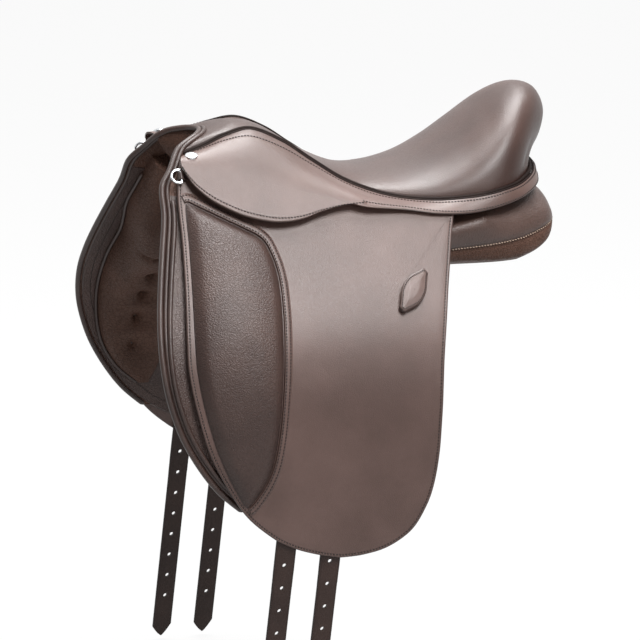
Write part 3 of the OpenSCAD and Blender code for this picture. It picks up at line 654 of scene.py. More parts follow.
def make_seat():
    """The stretched cover, with a soft pleat on each side of the cantle and its edge tucked in."""
    stations = np.concatenate([np.linspace(0, 0.6, 8), np.linspace(0.6, 18.6, 150)[1:]])[:, None]
    across = np.sin(np.linspace(-np.pi / 2, np.pi / 2, 81))[None]
    width = np.abs(across)
    reach = np.clip((width - 0.45) / 0.4, 0, 1) * np.clip((1.02 - width) / 0.12, 0, 1)
    past_pleat = stations - PLEAT_STATION - PLEAT_LEAN * (1 - width)
    pleat = PLEAT_DEEP * reach * hump(past_pleat, PLEAT_RUN)
    top, low = seat(stations, across, pleat), seat(stations, across * 0.995, COVER_THICK + pleat)
    rear = np.clip((stations - TUCK_FROM) / TUCK_RUN, 0, 1)[..., None]
    under = mix(beside(stations, -0.5, 1.0), beside(stations, -5.0, 10.0), rear)
    under = under.reshape(len(stations), 1, 3)
    top = np.concatenate([under * (1, -1, 1), top, under], 1)
    under = under - np.array([0, 0, 1.5])
    low = np.concatenate([under * (1, -1, 1), low, under], 1)
    cushion = place(sheet("seat", top, low, SEAT_HIDE), "saddle", "seat_leather", "seat_cover", "seat_foam")


# The welt and the cord beside it: out of the seat's edge, below it, and the radius
WELT_PLACE = (2.2, 0.2, 2.5)
CORD_PLACE = (6.4, 1.3, 1.7)


def make_welt(name, flip):
    stations = np.linspace(0.1, LAST_RIM, 240)
    out, down, radius = WELT_PLACE
    place(tube("welt_" + name, beside(stations, out, down), radius, WELT, flip),
          "saddle", "piping_leather", "seat_welt_" + name)
    out, down, radius = CORD_PLACE
    place(tube("welt_cord_" + name, beside(stations, out, down), radius, WELT, flip, sides=8),
          "saddle", "piping_leather")


# The stud's place on the band, and its profile as radius and height
STUD_STATION, STUD_SHARE, STUD_SIDES = 0.7, 0.6, 40
STUD = [(7.4, -1.5), (7.5, 0.6), (7.3, 1.2), (6.9, 1.5), (6.4, 1.6), (5.2, 2.3), (3.6, 2.9), (1.8, 3.2),
        (0.4, 3.3)]


def make_stud(name, flip, *nodes):
    at = np.array([STUD_STATION])
    up = band_normals(at, STUD_SHARE)[0]
    along = unit(np.cross(up, np.array([0, 0, 1.0])))
    across = np.cross(up, along)
    turn = np.linspace(0, 2 * np.pi, STUD_SIDES, endpoint=False)
    ring = np.outer(np.cos(turn), along) + np.outer(np.sin(turn), across)
    points = np.concatenate([band(at, STUD_SHARE)[0] + r * ring + h * up for r, h in STUD])
    faces = grid(len(STUD), STUD_SIDES, wrap=True)
    faces += [tuple(range(STUD_SIDES))[::-1], tuple(range(len(points) - STUD_SIDES, len(points)))]
    place(piece("stud_" + name, points, faces, NICKEL, flip), "saddle", "nickel", *nodes)


# Steps of the skirt's edge that belong to the stations of its fold
SKIRT_FROM = [0, 1.4, 2.7, 3.95, 5.6, 7.55, 9.05, 10]
LAST_FOLD = len(SKIRT_FROM) - 1


def skirt_face(i, w, out=0.0):
    """Outer face of the whole skirt: the band beside the seat for w 0 to 1, and the belly for w 1 to 2."""
    i, w = np.broadcast_arrays(np.asarray(i, float), np.asarray(w, float))
    hang = curve(SKIRT_EDGE, curve(SKIRT_FROM, np.clip(i, 0, LAST_FOLD)))
    top = curve(FOLD_X, np.clip(i, 0, LAST_FOLD))
    t = np.clip(w - 1, 0, 1)
    heights = fold(top)[..., 2] - FOLD_DROP
    x, z = mix(top, hang[..., 0], t), mix(heights, hang[..., 1], t)
    belly = side(x, z, SKIRT_OUT + out)
    return np.where((w < 1)[..., None], band(i, np.minimum(w, 1)), belly)


BAND_THICK = 2.4
# Sewn rows of the skirt: shares of the band's width, and of the whole skirt's for the row along the edge
TOP_ROW, FOOT_ROW, EDGE_ROW = 0.17, 0.86, 1.88
FREE_FROM, FREE_RUN = 6.6, 1.4


def make_skirt_band(name, flip):
    """The sewn part of the skirt beside the seat, whose foot is a free edge round the back."""
    stations = np.linspace(0, LAST_RIM, 240)[:, None]
    top_edge, foot_edge = [0, 0.012, 0.03, 0.06], [0.94, 0.965, 0.985, 1]
    shares = np.concatenate([top_edge, np.linspace(0.1, 0.9, 15), foot_edge])[None]
    top = band(stations, shares)
    n = surface_normals(top)
    behind = np.clip((stations - FREE_FROM) / FREE_RUN, 0, 1)
    lip = np.clip((shares - 0.9) / 0.1, 0, 1) ** 3 * 1.3 * behind
    seam = 0.5 * hump(shares - TOP_ROW, 0.02)
    wear_and_painted_shade = np.maximum(np.exp(-shares / 0.02) * 0.7, np.exp(-(1 - shares) / 0.04) * behind)
    under = top - (BAND_THICK - 0.4 * lip)[..., None] * n
    place(sheet("skirt_top_" + name, top - (lip + seam)[..., None] * n, under, CALF, flip, wear_and_painted_shade),
          "saddle", "flap_leather", "skirt_band_" + name)


def make_skirt(name, flip):
    make_skirt_band(name, flip)
    body = name + "_skirt"
    stations = np.linspace(0, LAST_FOLD, 130)[:, None]
    near_edge = [0.872, 0.88, 0.888, 0.91, 0.94, 0.962, 0.975, 0.988, 1]
    shares = 1 + np.concatenate([np.linspace(0, 0.86, 16), near_edge])[None]
    lip = np.clip((shares - 1.955) / 0.045, 0, 1) ** 2 * 1.2
    groove = 0.3 * hump(shares - EDGE_ROW, 0.012)
    tuck = 2.0 * np.clip((stations - 6.5) / 0.5, 0, 1) ** 2
    belly = skirt_face(stations, shares, -lip - groove - tuck)
    under = skirt_face(stations, shares, -SKIRT_THICK + lip * 0.8)
    wear_and_painted_shade = np.exp(-(2 - shares) / 0.02) + 0 * stations
    place(sheet("skirt_" + name, belly, under, CALF, flip, wear_and_painted_shade), body, "flap_leather", "skirt_" + name)
    low = skirt_face(np.linspace(0.12, 6.7, 90), EDGE_ROW, -0.2)
    place(stitches("skirt_edge_row_" + name, low, side_n(low[:, 2] - 8), DARK_THREAD, flip),
          body, "flap_leather")
    for row, begin, share in (("top", 0.75, TOP_ROW), ("foot", 6.75, FOOT_ROW)):
        at = np.linspace(begin, LAST_RIM - 0.1, 300)
        n = band_normals(at, share)
        place(stitches("skirt_%s_row_%s" % (row, name), band(at, share) - 0.2 * n, n, DARK_THREAD, flip),
              "saddle", "flap_leather")


# Flaps with their knee pads and keepers

FLAP_HEAD = 250
FLAP_MIDDLE = (110, -140)
ROOT_RISE = 10


def flap_outline():
    """Whole outline of a flap with its sewn root, and the number of points on its free edge."""
    free = np.vstack([sampled(FLAP_FRONT), sampled(FLAP_BACK)[1:]])
    root = [[-55, 28], [-15, 34], [32, fold(32)[2] - FOLD_DROP + ROOT_RISE],
            [246, fold(246)[2] - FOLD_DROP + ROOT_RISE], [FLAP_HEAD, fold(FLAP_HEAD)[2] - FOLD_DROP]]
    return np.vstack([free, root]), len(free)


def make_flap(name, flip):
    outline, free = flap_outline()
    flap = plate("flap_" + name, outline, FLAP_MIDDLE, FLAP_IN, 0, CALF, flip, 420, groove=0.35)
    axis = unit(FOLD_FRONT - FOLD_REAR)
    down = unit(np.cross(axis, np.cross(np.array([0, 0, -1.0]), axis)))
    at_fold = fold(float(FLAP_MIDDLE[0]))
    near = at_fold - 0.5 * side_n(at_fold[2]) * SKIRT_OUT
    ends = [tuple((near + d * down) * MM * (1, flip, 1)) for d in (-3, 20)]
    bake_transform(flap)
    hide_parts("flap_" + name, "flap_root_" + name)
    sewn = inside(outline, SEWN)[6:free - 3]
    place(side_row("flap_row_" + name, spaced(sewn, 500), -0.35, DARK_THREAD, flip), name + "_flap",
          "flap_leather")


PAD_TOP = [[253, 30], [250.5, 50], [248, 52.5], [240, 48], [206, 31], [184, 20], [170, 13], [162, 4]]
PAD_HIGH, PAD_FOOT, PAD_ROLL = 19, 1.2, 14
PAD_CELL, PAD_PASSES = 2.5, 1800


def pad_outline():
    return rounded(PAD_FRONT[:0:-1] + PAD_TOP + PAD_BACK[1:], 4)


def cells_within(cells, outline):
    """1 for each [x, z] cell inside a closed outline, and 0 for the others."""
    x, z = cells[..., :1], cells[..., 1:]
    a, b = outline, np.roll(outline, -1, 0)
    level = (a[:, 1] > z) != (b[:, 1] > z)
    crossed = level & (x < a[:, 0] + (b[:, 0] - a[:, 0]) * (z - a[:, 1]) / (b[:, 1] - a[:, 1] + 1e-9))
    return crossed.sum(-1) % 2


def pad_face(places, outline):
    """Height of the knee pad: a filled cushion, swollen evenly on a grid of cells so that no ridge is left
    where its sides meet."""
    low = outline.min(0) - 6
    lines = [np.arange(low[k], outline[:, k].max() + 8, PAD_CELL) for k in (0, 1)]
    filled = cells_within(np.stack(np.meshgrid(*lines, indexing="ij"), -1), outline)
    swell = np.zeros(filled.shape)
    for _ in range(PAD_PASSES):
        around = sum(np.roll(swell, way, axis) for way in (1, -1) for axis in (0, 1))
        swell = filled * (1 + around / 4)
    swell /= swell.max()
    at = (places - low) / PAD_CELL
    cell = at.astype(int)
    share = at - cell
    i, j = cell[..., 0], cell[..., 1]
    lower = mix(swell[i, j], swell[i + 1, j], share[..., 0])
    upper = mix(swell[i, j + 1], swell[i + 1, j + 1], share[..., 0])
    height = mix(lower, upper, share[..., 1])
    rolled = 1 - (1 - np.minimum(edge_distance(places, outline) / PAD_ROLL, 1)) ** 2.4
    return PAD_FOOT + PAD_HIGH * np.maximum(height, 0.02) ** 0.45 * rolled


def make_knee_pad(name, flip):
    body = name + "_flap"
    edge = spaced(pad_outline(), 340, closed=True)
    pad_rings = [inside(edge, d) for d in (0, 0.5, 1.2, 2.2, 3.5, 5.5, 8)]
    pad_rings += [mix(pad_rings[-1], PAD_MIDDLE, s) for s in np.linspace(0, 0.98, 26)[1:]]
    places = np.array(pad_rings)
    top, low = on_side(places, pad_face(places, edge)), on_side(places, 0.25 + 0 * places[..., 0])
    rows, columns = places.shape[:2]
    count = rows * columns
    faces = grid(rows, columns, wrap=True) + [f[::-1] for f in grid(rows, columns, count, wrap=True)]
    faces += [(c, (c + 1) % columns, count + (c + 1) % columns, count + c) for c in range(columns)]
    faces += [tuple(range(count - columns, count)), tuple(range(2 * count - columns, 2 * count))[::-1]]
    # The pad's rim is darkened: painted shade of the dark gap where the pad runs under its border.
    wear_and_painted_shade = np.exp(-edge_distance(places, edge) / 1.5).ravel() * 0.9
    points = np.concatenate([top.reshape(-1, 3), low.reshape(-1, 3)])
    pad = piece("knee_pad_" + name, points, faces, GRAINED, flip, np.concatenate([wear_and_painted_shade, wear_and_painted_shade]))
    place(pad, body, "grain_leather", "knee_pad_" + name)
    make_pad_border(name, flip, body, border_line(edge))


BORDER_START, BORDER_END = np.array([251, 54]), np.array([214, -287])


def border_line(edge):
    """Line close round the knee pad, from its upper front corner over the top and down the back."""
    around = inside(edge, -1.2)
    first = np.argmin(np.linalg.norm(around - BORDER_START, axis=1))
    around = np.roll(around, -first, 0)
    # Points that start down the front run the wrong way round
    if around[40, 0] > 240 and around[40, 1] < 20:
        around = np.roll(around[::-1], 1, 0)
    last = np.argmin(np.linalg.norm(around - BORDER_END, axis=1))
    return spaced(around[:last + 1], 220)


# The strip beside the knee pad: steps out from the pad and the leather's height at each, and its sewn rows
STRIP_STEPS = np.array([0, 0.3, 0.9, 2.2, 3, 5.5, 8, 9.2, 9.8])
STRIP_LIFT = np.array([0.6, 1.9, 2.5, 2.2, 2.3, 2.2, 1.4, 0.6, 0.1])
STRIP_ROWS = (2.4, 7.2)


def make_pad_border(name, flip, body, line):
    """The turned edge of the flap round the knee pad, with its two sewn rows."""
    along = unit(np.gradient(line, axis=0))
    outward = np.stack([-along[:, 1], along[:, 0]], 1)
    outward *= np.sign(np.sum(outward * (line - PAD_MIDDLE), 1).mean())
    places = line[:, None] + STRIP_STEPS[None, :, None] * outward[:, None]
    top = on_side(places, STRIP_LIFT[None] + 0 * places[..., 0])
    low = on_side(places, 0.05 + 0 * places[..., 0])
    # The strip's inner edge is darkened: painted shade of the gap beside the knee pad.
    wear_and_painted_shade = np.repeat(np.exp(-STRIP_STEPS / 0.8)[None], len(line), 0)
    place(sheet("pad_border_" + name, top, low, CALF, flip, wear_and_painted_shade), body, "flap_leather")
    for number, at in enumerate(STRIP_ROWS, 1):
        lifted = np.interp(at, STRIP_STEPS, STRIP_LIFT)
        place(side_row("pad_row_%d_%s" % (number, name), line + at * outward, lifted, DARK_THREAD, flip),
              body, "flap_leather")


# The keeper: its middle on the flap, half of its lens shape along and across its slant, and its heights
KEEPER_MIDDLE = np.array([-4.0, -54])
KEEPER_HALF = [[-27, 4], [-24, 4.5], [-19, 7], [-10, 12], [0, 13.5], [10, 12], [19, 7], [24, 4.5], [27, 4]]
KEEPER_IN, KEEPER_OUT, KEEPER_CROWN = 5.2, 7.8, 1.6
KEEPER_BORDER = (0, 0.2, 0.6, 1.2, 2.0, 2.8)
KEEPER_FOOT = np.array([[-4.2, -4.4], [4.2, -4.4], [4.2, 4.4], [-4.2, 4.4]])
KEEPER_FOOT_AT = 23.5


def make_keeper(name, flip):
    body = name + "_flap"
    along, across = np.array([1, -1]) / math.sqrt(2), np.array([-1, -1]) / math.sqrt(2)
    turn = np.array([along, across])
    lens = KEEPER_MIDDLE + rounded(KEEPER_HALF + [[a, -b] for a, b in KEEPER_HALF[::-1]], 2) @ turn

    def crown(places):
        return KEEPER_CROWN * np.clip(edge_distance(places, lens) / 9, 0, 1)

    loop = plate("keeper_" + name, lens, KEEPER_MIDDLE, KEEPER_IN, KEEPER_OUT, CALF, flip, 150, rings=8,
                 border=KEEPER_BORDER, raised=crown)
    place(loop, body, "piping_leather", "flap_keeper_" + name)
    row = inside(spaced(lens, 150, closed=True), 2.2)
    row = np.vstack([row, row[:1]])
    place(side_row("keeper_row_" + name, row, KEEPER_OUT + 0.5, DARK_THREAD, flip, pitch=2.9, thick=0.6),
          body, "piping_leather")
    for number, end in enumerate((-1, 1), 1):
        tip = KEEPER_MIDDLE + KEEPER_FOOT_AT * end * along
        outline = rounded(tip + KEEPER_FOOT @ turn, 2)
        foot = plate("keeper_foot_%d_%s" % (number, name), outline, tip, 0.15, 5.9, CALF, flip, 40, rings=4,
                     border=(0, 0.3, 0.9))
        place(foot, body, "piping_leather")


# Sweat flaps, panels, pipings and the head

SWEAT_MID = (SWEAT_IN + SWEAT_OUT) / 2
SWEAT_MIDDLE, SWEAT_ROOT = (150, -130), [150, 40]
ROLL_IN, ROLL_R, SWEAT_ROW_IN = 6.5, 3.0, 12.5
HEAD_PIPING_R = 3.6
HEAD_CORNER = np.array([258, 66, 84])


def head_line(gap_out, drop):
    """Half of the line round the head and down a front edge, moved out and dropped."""
    rise = [seat(0.0, q) + np.array([5 + gap_out, 0, 1 - drop]) for q in (0, 0.3, 0.6, 0.9)]
    knots = np.array(SWEAT_FRONT, float)
    last = len(knots) - 1
    t = np.array([knots[min(last, k + 1)] - knots[max(0, k - 1)] for k in range(last + 1)])
    n = unit(np.stack([-t[:, 1], t[:, 0]], 1))
    p = knots + (HEAD_PIPING_R + gap_out) * n
    down = np.stack([p[:, 0], layer_y(p[:, 1], SWEAT_MID), p[:, 1]], 1)
    return np.vstack([rise, [HEAD_CORNER + [gap_out, 0, -drop]], down])


def make_sweat_flap(name, flip):
    front = sampled(SWEAT_FRONT)
    outline = np.vstack([front, sampled(SWEAT_BACK)[1:], [SWEAT_ROOT]])
    flap = plate("sweat_flap_" + name, outline, SWEAT_MIDDLE, SWEAT_IN, SWEAT_OUT, GRAINED, flip, 380,
                 groove=0.3, fuller=1.2)
    place(flap, "saddle", "grain_leather", "sweat_flap_" + name)
    roll = spaced(inside(outline, ROLL_IN)[4:len(front) - 4], 160)
    place(tube("front_roll_" + name, on_side(roll, SWEAT_OUT + 1.8), ROLL_R, PIPING, flip),
          "saddle", "piping_leather")
    row = spaced(inside(outline, SWEAT_ROW_IN)[10:len(outline) - 9], 400)
    place(side_row("sweat_row_" + name, row, SWEAT_IN - 1.3, DARK_THREAD, flip), "saddle", "grain_leather")


# The front facing: how far back it reaches beside the head and below it, its arch and its thickness
FRONT_FACING_HEAD, FRONT_FACING_LOW = np.array([-30.0, -1, -8]), np.array([-26.0, 0, 0])
FRONT_FACING_ARCH, FRONT_FACING_THICK = 3.0, np.array([0, 1.6, 0.6])


def make_front_facing(name, flip):
    """Ribbon of lining from the piping of the front edge back to the sweat flap."""
    line = sampled(head_line(0.0, 0.0)[3:], 8)
    below = np.clip((HEAD_CORNER[2] - line[:, 2]) / 20, 0, 1)[:, None]
    hidden = line + mix(FRONT_FACING_HEAD, FRONT_FACING_LOW, below)
    hidden[:, 1] = mix(hidden[:, 1:2], layer_y(hidden[:, 2], SWEAT_MID)[:, None], below)[:, 0]
    rows = np.linspace(0, 1, 9)[None, :, None]
    ribbon = mix(line[:, None], hidden[:, None], rows)
    ribbon[..., 1] += FRONT_FACING_ARCH * np.sin(np.pi * rows[..., 0]) * (1 - below)
    place(sheet("front_facing_" + name, ribbon, ribbon - FRONT_FACING_THICK, LINING, flip),
          "saddle", "grain_leather")


# The panel's corners as [y, z], at the places along it that PANEL_X gives

PANEL_X = [-223, -219, -209, -188, -150, -80, 0, 80, 150, 200, 240, 260]
TOP_IN = [[54, 8], [46, 24], [41, 34], [37, 36], [35, 36], [35, 26], [35, 18], [36, 28], [40, 54], [45, 70],
          [56, 66], [70, 50]]
LOW_IN = [[56, -8], [48, -18], [44, -30], [41, -36], [40, -36], [42, -34], [44, -26], [47, -14], [52, 10],
          [58, 28], [72, 30], [84, 24]]
LOW_OUT = [[72, -8], [86, -18], [97, -27], [107, -35], [112, -40], [116, -38], [118, -38], [122, -44],
           [126, -52], [128, -54], [126, -50], [118, -36]]
TOP_OUT = [[74, 8], [90, 20], [101, 28], [112, 26], [120, 20], [124, 6], [133, -4], [142, -12], [151, -24],
           [161, -31], [170, -31], [170, -24]]
LAST_PANEL = len(PANEL_X) - 1


def panel_rings(t):
    """Cross sections of the panel, as rings of 12 points from its upper inner corner round."""
    t = np.asarray(t, float)
    a, b, c, e = (curve(k, t) for k in (TOP_IN, LOW_IN, LOW_OUT, TOP_OUT))
    d = np.stack([np.minimum(layer_y(e[:, 1], PANEL_OUT), e[:, 0]), e[:, 1]], 1)
    n = unit(np.stack([c[:, 1] - b[:, 1], b[:, 0] - c[:, 0]], 1))
    deep = mix(4, 15, np.minimum(1, t / 3)) * np.minimum(1, (LAST_PANEL + 0.3 - t) / 1.5)
    ring = [a, (a + b) / 2 + [-2, 0], b]
    ring += [mix(b, c, k) + (deep * np.sin(np.pi * k))[:, None] * n for k in (0.14, 0.32, 0.5, 0.68, 0.86)]
    ring += [c, (c + d) / 2 - 3 * n[:, 1:] * [1, 0], d, mix(d, a, 0.5) + [0, 4]]
    return np.stack(ring, 1)


# Columns of the panel's mesh: their number, the gusset's seam and the corner that is softened
PANEL_COLUMNS, SEAM_COLUMN, CORNER_COLUMN = 72, 52, 60
# Stations at which its close rows end and at which the front lobe takes over
PANEL_REAR, PANEL_FRONT = 3, LAST_PANEL - 1.9
CORNER_PASSES, ROW_PASSES, EVENED_ROWS = 120, 300, 60
SEAM_PINCH, SEAM_PUFF = 2.6, 3.5
GUSSET_ROWS = slice(5, -24)
# Forward of this, in metres, the panel lies under the flaps and is all lining
LINED_FROM = 0.12
# Rounded ends of the panel: how far each ring shrinks, and how far it stands out
PANEL_END = ((0.15, 1.2), (0.4, 2.2), (0.7, 2.8), (0.95, 3))


def panel_points():
    """Grid of the panel's points, evened out at its corner, pinched at the seam and puffed beside it."""
    t = np.concatenate([np.linspace(0, PANEL_REAR, 50), np.linspace(PANEL_REAR, PANEL_FRONT, 80)[1:]])
    rings = panel_rings(t)
    loop = np.concatenate([rings[:, -1:], rings, rings[:, :2]], 1).transpose(1, 0, 2)
    around = np.linspace(1, 13, PANEL_COLUMNS + 1)[:-1]
    smooth = curve(loop.reshape(len(loop), -1), around).reshape(PANEL_COLUMNS, len(t), 2).transpose(1, 0, 2)
    columns = np.arange(PANEL_COLUMNS)
    soft = hump(columns - CORNER_COLUMN, 9.0)[None, :, None] * np.clip((4.5 - t) / 2.5, 0, 1)[:, None, None]
    for _ in range(CORNER_PASSES):
        smooth = mix(smooth, (np.roll(smooth, 1, 1) + np.roll(smooth, -1, 1)) / 2, soft)
    middle = smooth.mean(1, keepdims=True)
    pinch = SEAM_PINCH * hump(columns - SEAM_COLUMN, 0.8)[None, :, None]
    puff = SEAM_PUFF * hump(columns - SEAM_COLUMN - 5, 4.0)[None, :, None]
    puff = puff * np.clip(t / 2, 0, 1)[:, None, None]
    smooth = smooth + (puff - pinch) * unit(smooth - middle)
    points = np.concatenate([np.repeat(curve(PANEL_X, t)[:, None, None], PANEL_COLUMNS, 1), smooth], 2)
    ends = [np.array([mix(points[k], points[k].mean(0), s) + np.array([way * r, 0, 0]) for s, r in PANEL_END])
            for k, way in ((0, -1), (-1, 1))]
    points = np.concatenate([ends[0][::-1], points, ends[1]])
    n = EVENED_ROWS
    for _ in range(ROW_PASSES):
        points[1:n] = (points[:n - 1] + 2 * points[1:n] + points[2:n + 1]) / 4
    return points


def make_panel(name, flip):
    points = panel_points()
    rows = len(points)
    faces = grid(rows, PANEL_COLUMNS, wrap=True)
    faces += [tuple(range(PANEL_COLUMNS)), tuple(range((rows - 1) * PANEL_COLUMNS, rows * PANEL_COLUMNS))]
    # Darker along the gusset's seam, where the panel is pinched.
    wear_and_painted_shade = np.tile(hump(np.arange(PANEL_COLUMNS) - SEAM_COLUMN, 0.7) * 0.9, rows)
    cushion = piece("panel_" + name, points, faces, PANEL_HIDE, flip, wear_and_painted_shade)
    cushion.data.materials.append(LINING)
    for face in cushion.data.polygons:
        column = min(v % PANEL_COLUMNS for v in face.vertices)
        if column < SEAM_COLUMN or face.center.x > LINED_FROM:
            face.material_index = 1
    place(cushion, "saddle", "grain_leather", "panel_" + name)
    gusset = points[GUSSET_ROWS, SEAM_COLUMN]
    outward = unit((gusset - points.mean(1)[GUSSET_ROWS]) * (0.4, 1, 1))
    place(stitches("gusset_row_" + name, gusset + 0.7 * outward, outward, TAN_THREAD, flip),
          "saddle", "grain_leather")


# The front lobe's depth at its stations, with its foot, the tufts' dimples and the crease over them
LOBE_DEPTH = [24, 38, 52, 62, 64, 46, 31, 22, 14, 8]
LAST_LOBE = len(LOBE_DEPTH) - 1
LOBE_FOOT, LOBE_GAP = 1.5, 0.3
DIMPLE_WIDE, DIMPLE_TIGHT, DIMPLE_DEEP = 17, 5.5, 0.3
CREASE_DEEP, CREASE_WIDE = 0.08, 3.0
LOBE_CORD_R, TUFT_R, TUFT_HALF = 2.4, 2.0, 2.2


def make_panel_front(name, flip):
    """The tufted front lobe of a panel, with the cord along its edge and its buttons."""
    r, c = np.linspace(0, 1, 110)[:, None], np.linspace(1, 0, 60)[None]
    front, back = curve(LOBE_FRONT, LAST_LOBE * r), curve(LOBE_BACK, LAST_LOBE * r)
    p = mix(front, back, c[..., None])
    away = np.sqrt(((p[:, :, None] - TUFTS) ** 2).sum(-1))
    dimple = DIMPLE_DEEP * (hump(away, DIMPLE_WIDE).max(-1) + hump(away, DIMPLE_TIGHT).max(-1))
    crease = CREASE_DEEP * hump(p[..., 1] + 22 - 0.25 * (p[..., 0] - 230), CREASE_WIDE)
    full = curve(LOBE_DEPTH, LAST_LOBE * r) * (1 - np.abs(2 * c - 1) ** 3.4) ** 0.55
    face = PANEL_OUT - LOBE_GAP - LOBE_FOOT - full * (1 - dimple - crease)
    pad = sheet("panel_front_" + name, on_side(p, PANEL_OUT - 0.2), on_side(p, face), LINING, flip)
    place(pad, "saddle", "grain_leather", "panel_front_" + name)
    edge = curve(LOBE_FRONT, np.linspace(1.2, LAST_LOBE, 140)) + np.array([1.5, 0])
    place(tube("lobe_cord_" + name, on_side(edge, PANEL_OUT - 3.5), LOBE_CORD_R, PIPING, flip),
          "saddle", "piping_leather")
    for number, spot in enumerate(TUFTS, 1):
        centre = side(spot[0], spot[1], face.ravel()[np.argmin(((p - spot) ** 2).sum(-1))] + 0.8)
        button = [centre + k * np.array([0.0, 0, TUFT_HALF]) for k in (-1, -0.5, 0, 0.5, 1)]
        place(tube("tuft_%d_%s" % (number, name), button, TUFT_R, PIPING, flip, sides=8),
              "saddle", "grain_leather")


# The channel: panel stations of its lining and of its climb to the head, and how it lies between the panels
CHANNEL_FROM, CHANNEL_CLIMB, CHANNEL_TO = 2.2, 6, 9.4
CHANNEL_GAP, CHANNEL_CROWN, CHANNEL_THICK = 2.5, 6, 2.0
HEAD_FACING_TOP, HEAD_FACING_LOW = np.array([3.2, 0, -2.6]), np.array([3.4, 0, -2.0])
HEAD_FACING_BULGE, HEAD_FACING_THICK = 2.0, 2.5


def make_channel():
    """Lining over the channel between the panels, and the facing that closes it under the head."""
    t = np.linspace(CHANNEL_FROM, CHANNEL_TO, 60)[:, None]
    s = np.linspace(1, -1, 15)[None]
    climb = np.maximum(0, (t - CHANNEL_CLIMB) / (CHANNEL_TO - CHANNEL_CLIMB))
    wall = mix(curve(LOW_IN, t), curve(TOP_IN, t), mix(0.58, 0.95, climb ** 2)[..., None])
    x = curve(PANEL_X, t) + 0 * s
    top = np.stack([x, s * (wall[..., 0] - CHANNEL_GAP), wall[..., 1] + CHANNEL_CROWN * (1 - s * s)], -1)
    place(sheet("channel_lining_piece", top, top - np.array([0, 0, CHANNEL_THICK]), LINING),
          "saddle", "grain_leather", "channel_lining")
    v = np.linspace(0, 1, 9)[:, None, None]
    face = mix(seat(0.0, s) + HEAD_FACING_TOP, top[-1:] + HEAD_FACING_LOW, v)
    face[..., 0] += HEAD_FACING_BULGE * np.sin(np.pi * v[..., 0])
    place(sheet("head_facing_piece", face, face - np.array([HEAD_FACING_THICK, 0, 0]), LINING),
          "saddle", "piping_leather", "head_facing")


# Rolled edges of the head: how far out of the head's line, drop, radius and the nodes replaced
HEAD_ROLLS = (("head_piping_piece", -0.4, 0.0, HEAD_PIPING_R, ("head_piping",)),
              ("head_cord", -6.6, -0.6, 2.8, ()))


def make_head_piping():
    for label, out, drop, radius, nodes in HEAD_ROLLS:
        half = head_line(out, drop)
        whole = np.vstack([(half * (1, -1, 1))[:0:-1], half])
        place(tube(label, spaced(sampled(whole, 10), 340), radius, PIPING, sides=12),
              "saddle", "piping_leather", *nodes)


# Girth straps: places along a strap count from its bend, downward

STRAP_X = (("front", 171), ("rear", 115))
STRAP_LEAN, STRAP_BEND = math.radians(6.6), -374
STRAP_BEND_Y = float(layer_y(float(STRAP_BEND), STRAP_OUT))
STRAP_THICK = STRAP_OUT - STRAP_IN
STRAP_HALF, CREASE_AT, BEND_HALF = 12.5, 10.4, 8
ROOT_ROWS = -np.linspace(400, 26, 40)
HOLE_R = 2.5
HOLES = [28 * (k - 0.5) for k in range(8)]
STRAP_END, STRAP_POINT = HOLES[-1] + 55, 14
HALF_ACROSS = np.array([1, 3, 7, 9.9, 10.4, 10.9, 11.6, 12.3, 12.5])
ACROSS = np.concatenate([-HALF_ACROSS[::-1], HALF_ACROSS])


def strap_grid():
    """Places along and across a strap, drawn in at its tip and onto the holes' rims, and those to cut out."""
    rows = set(ROOT_ROWS.tolist()) | {0.0, 6.0, -6.0}
    rows |= {h + k for h in HOLES for k in (-7, -3, -1, 1, 3, 7)}
    rows |= set(np.linspace(HOLES[-1] + 9, STRAP_END - 16, 5).tolist())
    rows |= {STRAP_END - d for d in (STRAP_POINT, 12, 9.5, 7, 4.5, 2.2, 0.8, 0)}
    along, wide = np.meshgrid(sorted(rows), ACROSS, indexing="ij")
    wide = wide * np.clip((STRAP_END - along) / STRAP_POINT, 0.03, 1) ** 0.7
    cut = np.zeros(along.shape, bool)
    for h in HOLES:
        near = (np.abs(along - h) < 3.1) & (np.abs(wide) < 3.1)
        cut |= near & (np.abs(along - h) < 2) & (np.abs(wide) < 2)
        ring = near & ~cut
        share = HOLE_R / np.maximum(np.hypot(along - h, wide), 1e-6)
        along = np.where(ring, h + (along - h) * share, along)
        wide = np.where(ring, wide * share, wide)
    return along, wide, cut


def strap_faces(x, along, wide):
    """Outer and inner face of a strap, which lies on the side above its bend and hangs free below it."""
    rim = 1 - np.sqrt(1 - (1 - np.clip(STRAP_HALF - np.abs(ACROSS), 0, 1)) ** 2)
    crease = 0.3 * hump(np.abs(ACROSS) - CREASE_AT, 0.4)
    sin, cos = math.sin(STRAP_LEAN), math.cos(STRAP_LEAN)
    z = STRAP_BEND - np.where(along < 0, along, along * cos + wide * sin * (along > STRAP_POINT))
    x = x + np.where(along < 0, along * sin / cos + wide / cos, along * sin + wide * cos)
    root = np.maximum(z, STRAP_BEND)
    n = side_n(root)
    top = np.stack([x, layer_y(root, STRAP_OUT), z], -1) - (rim + crease)[:, None] * n
    low = np.stack([x, layer_y(root, STRAP_IN), z], -1) + (rim + 0.3 * crease)[:, None] * n
    below = z < STRAP_BEND
    top[..., 1] = np.where(below, STRAP_BEND_Y - rim - crease, top[..., 1])
    low[..., 1] = np.where(below, STRAP_BEND_Y - STRAP_THICK + rim, low[..., 1])
    return top, low


def over_hole(face, along, wide):
    """Whether a face of the grid lies wholly within a hole."""
    s, a = along.ravel()[list(face)], wide.ravel()[list(face)]
    return any(np.all(np.hypot(s - h, a) < HOLE_R + 0.01) for h in HOLES)


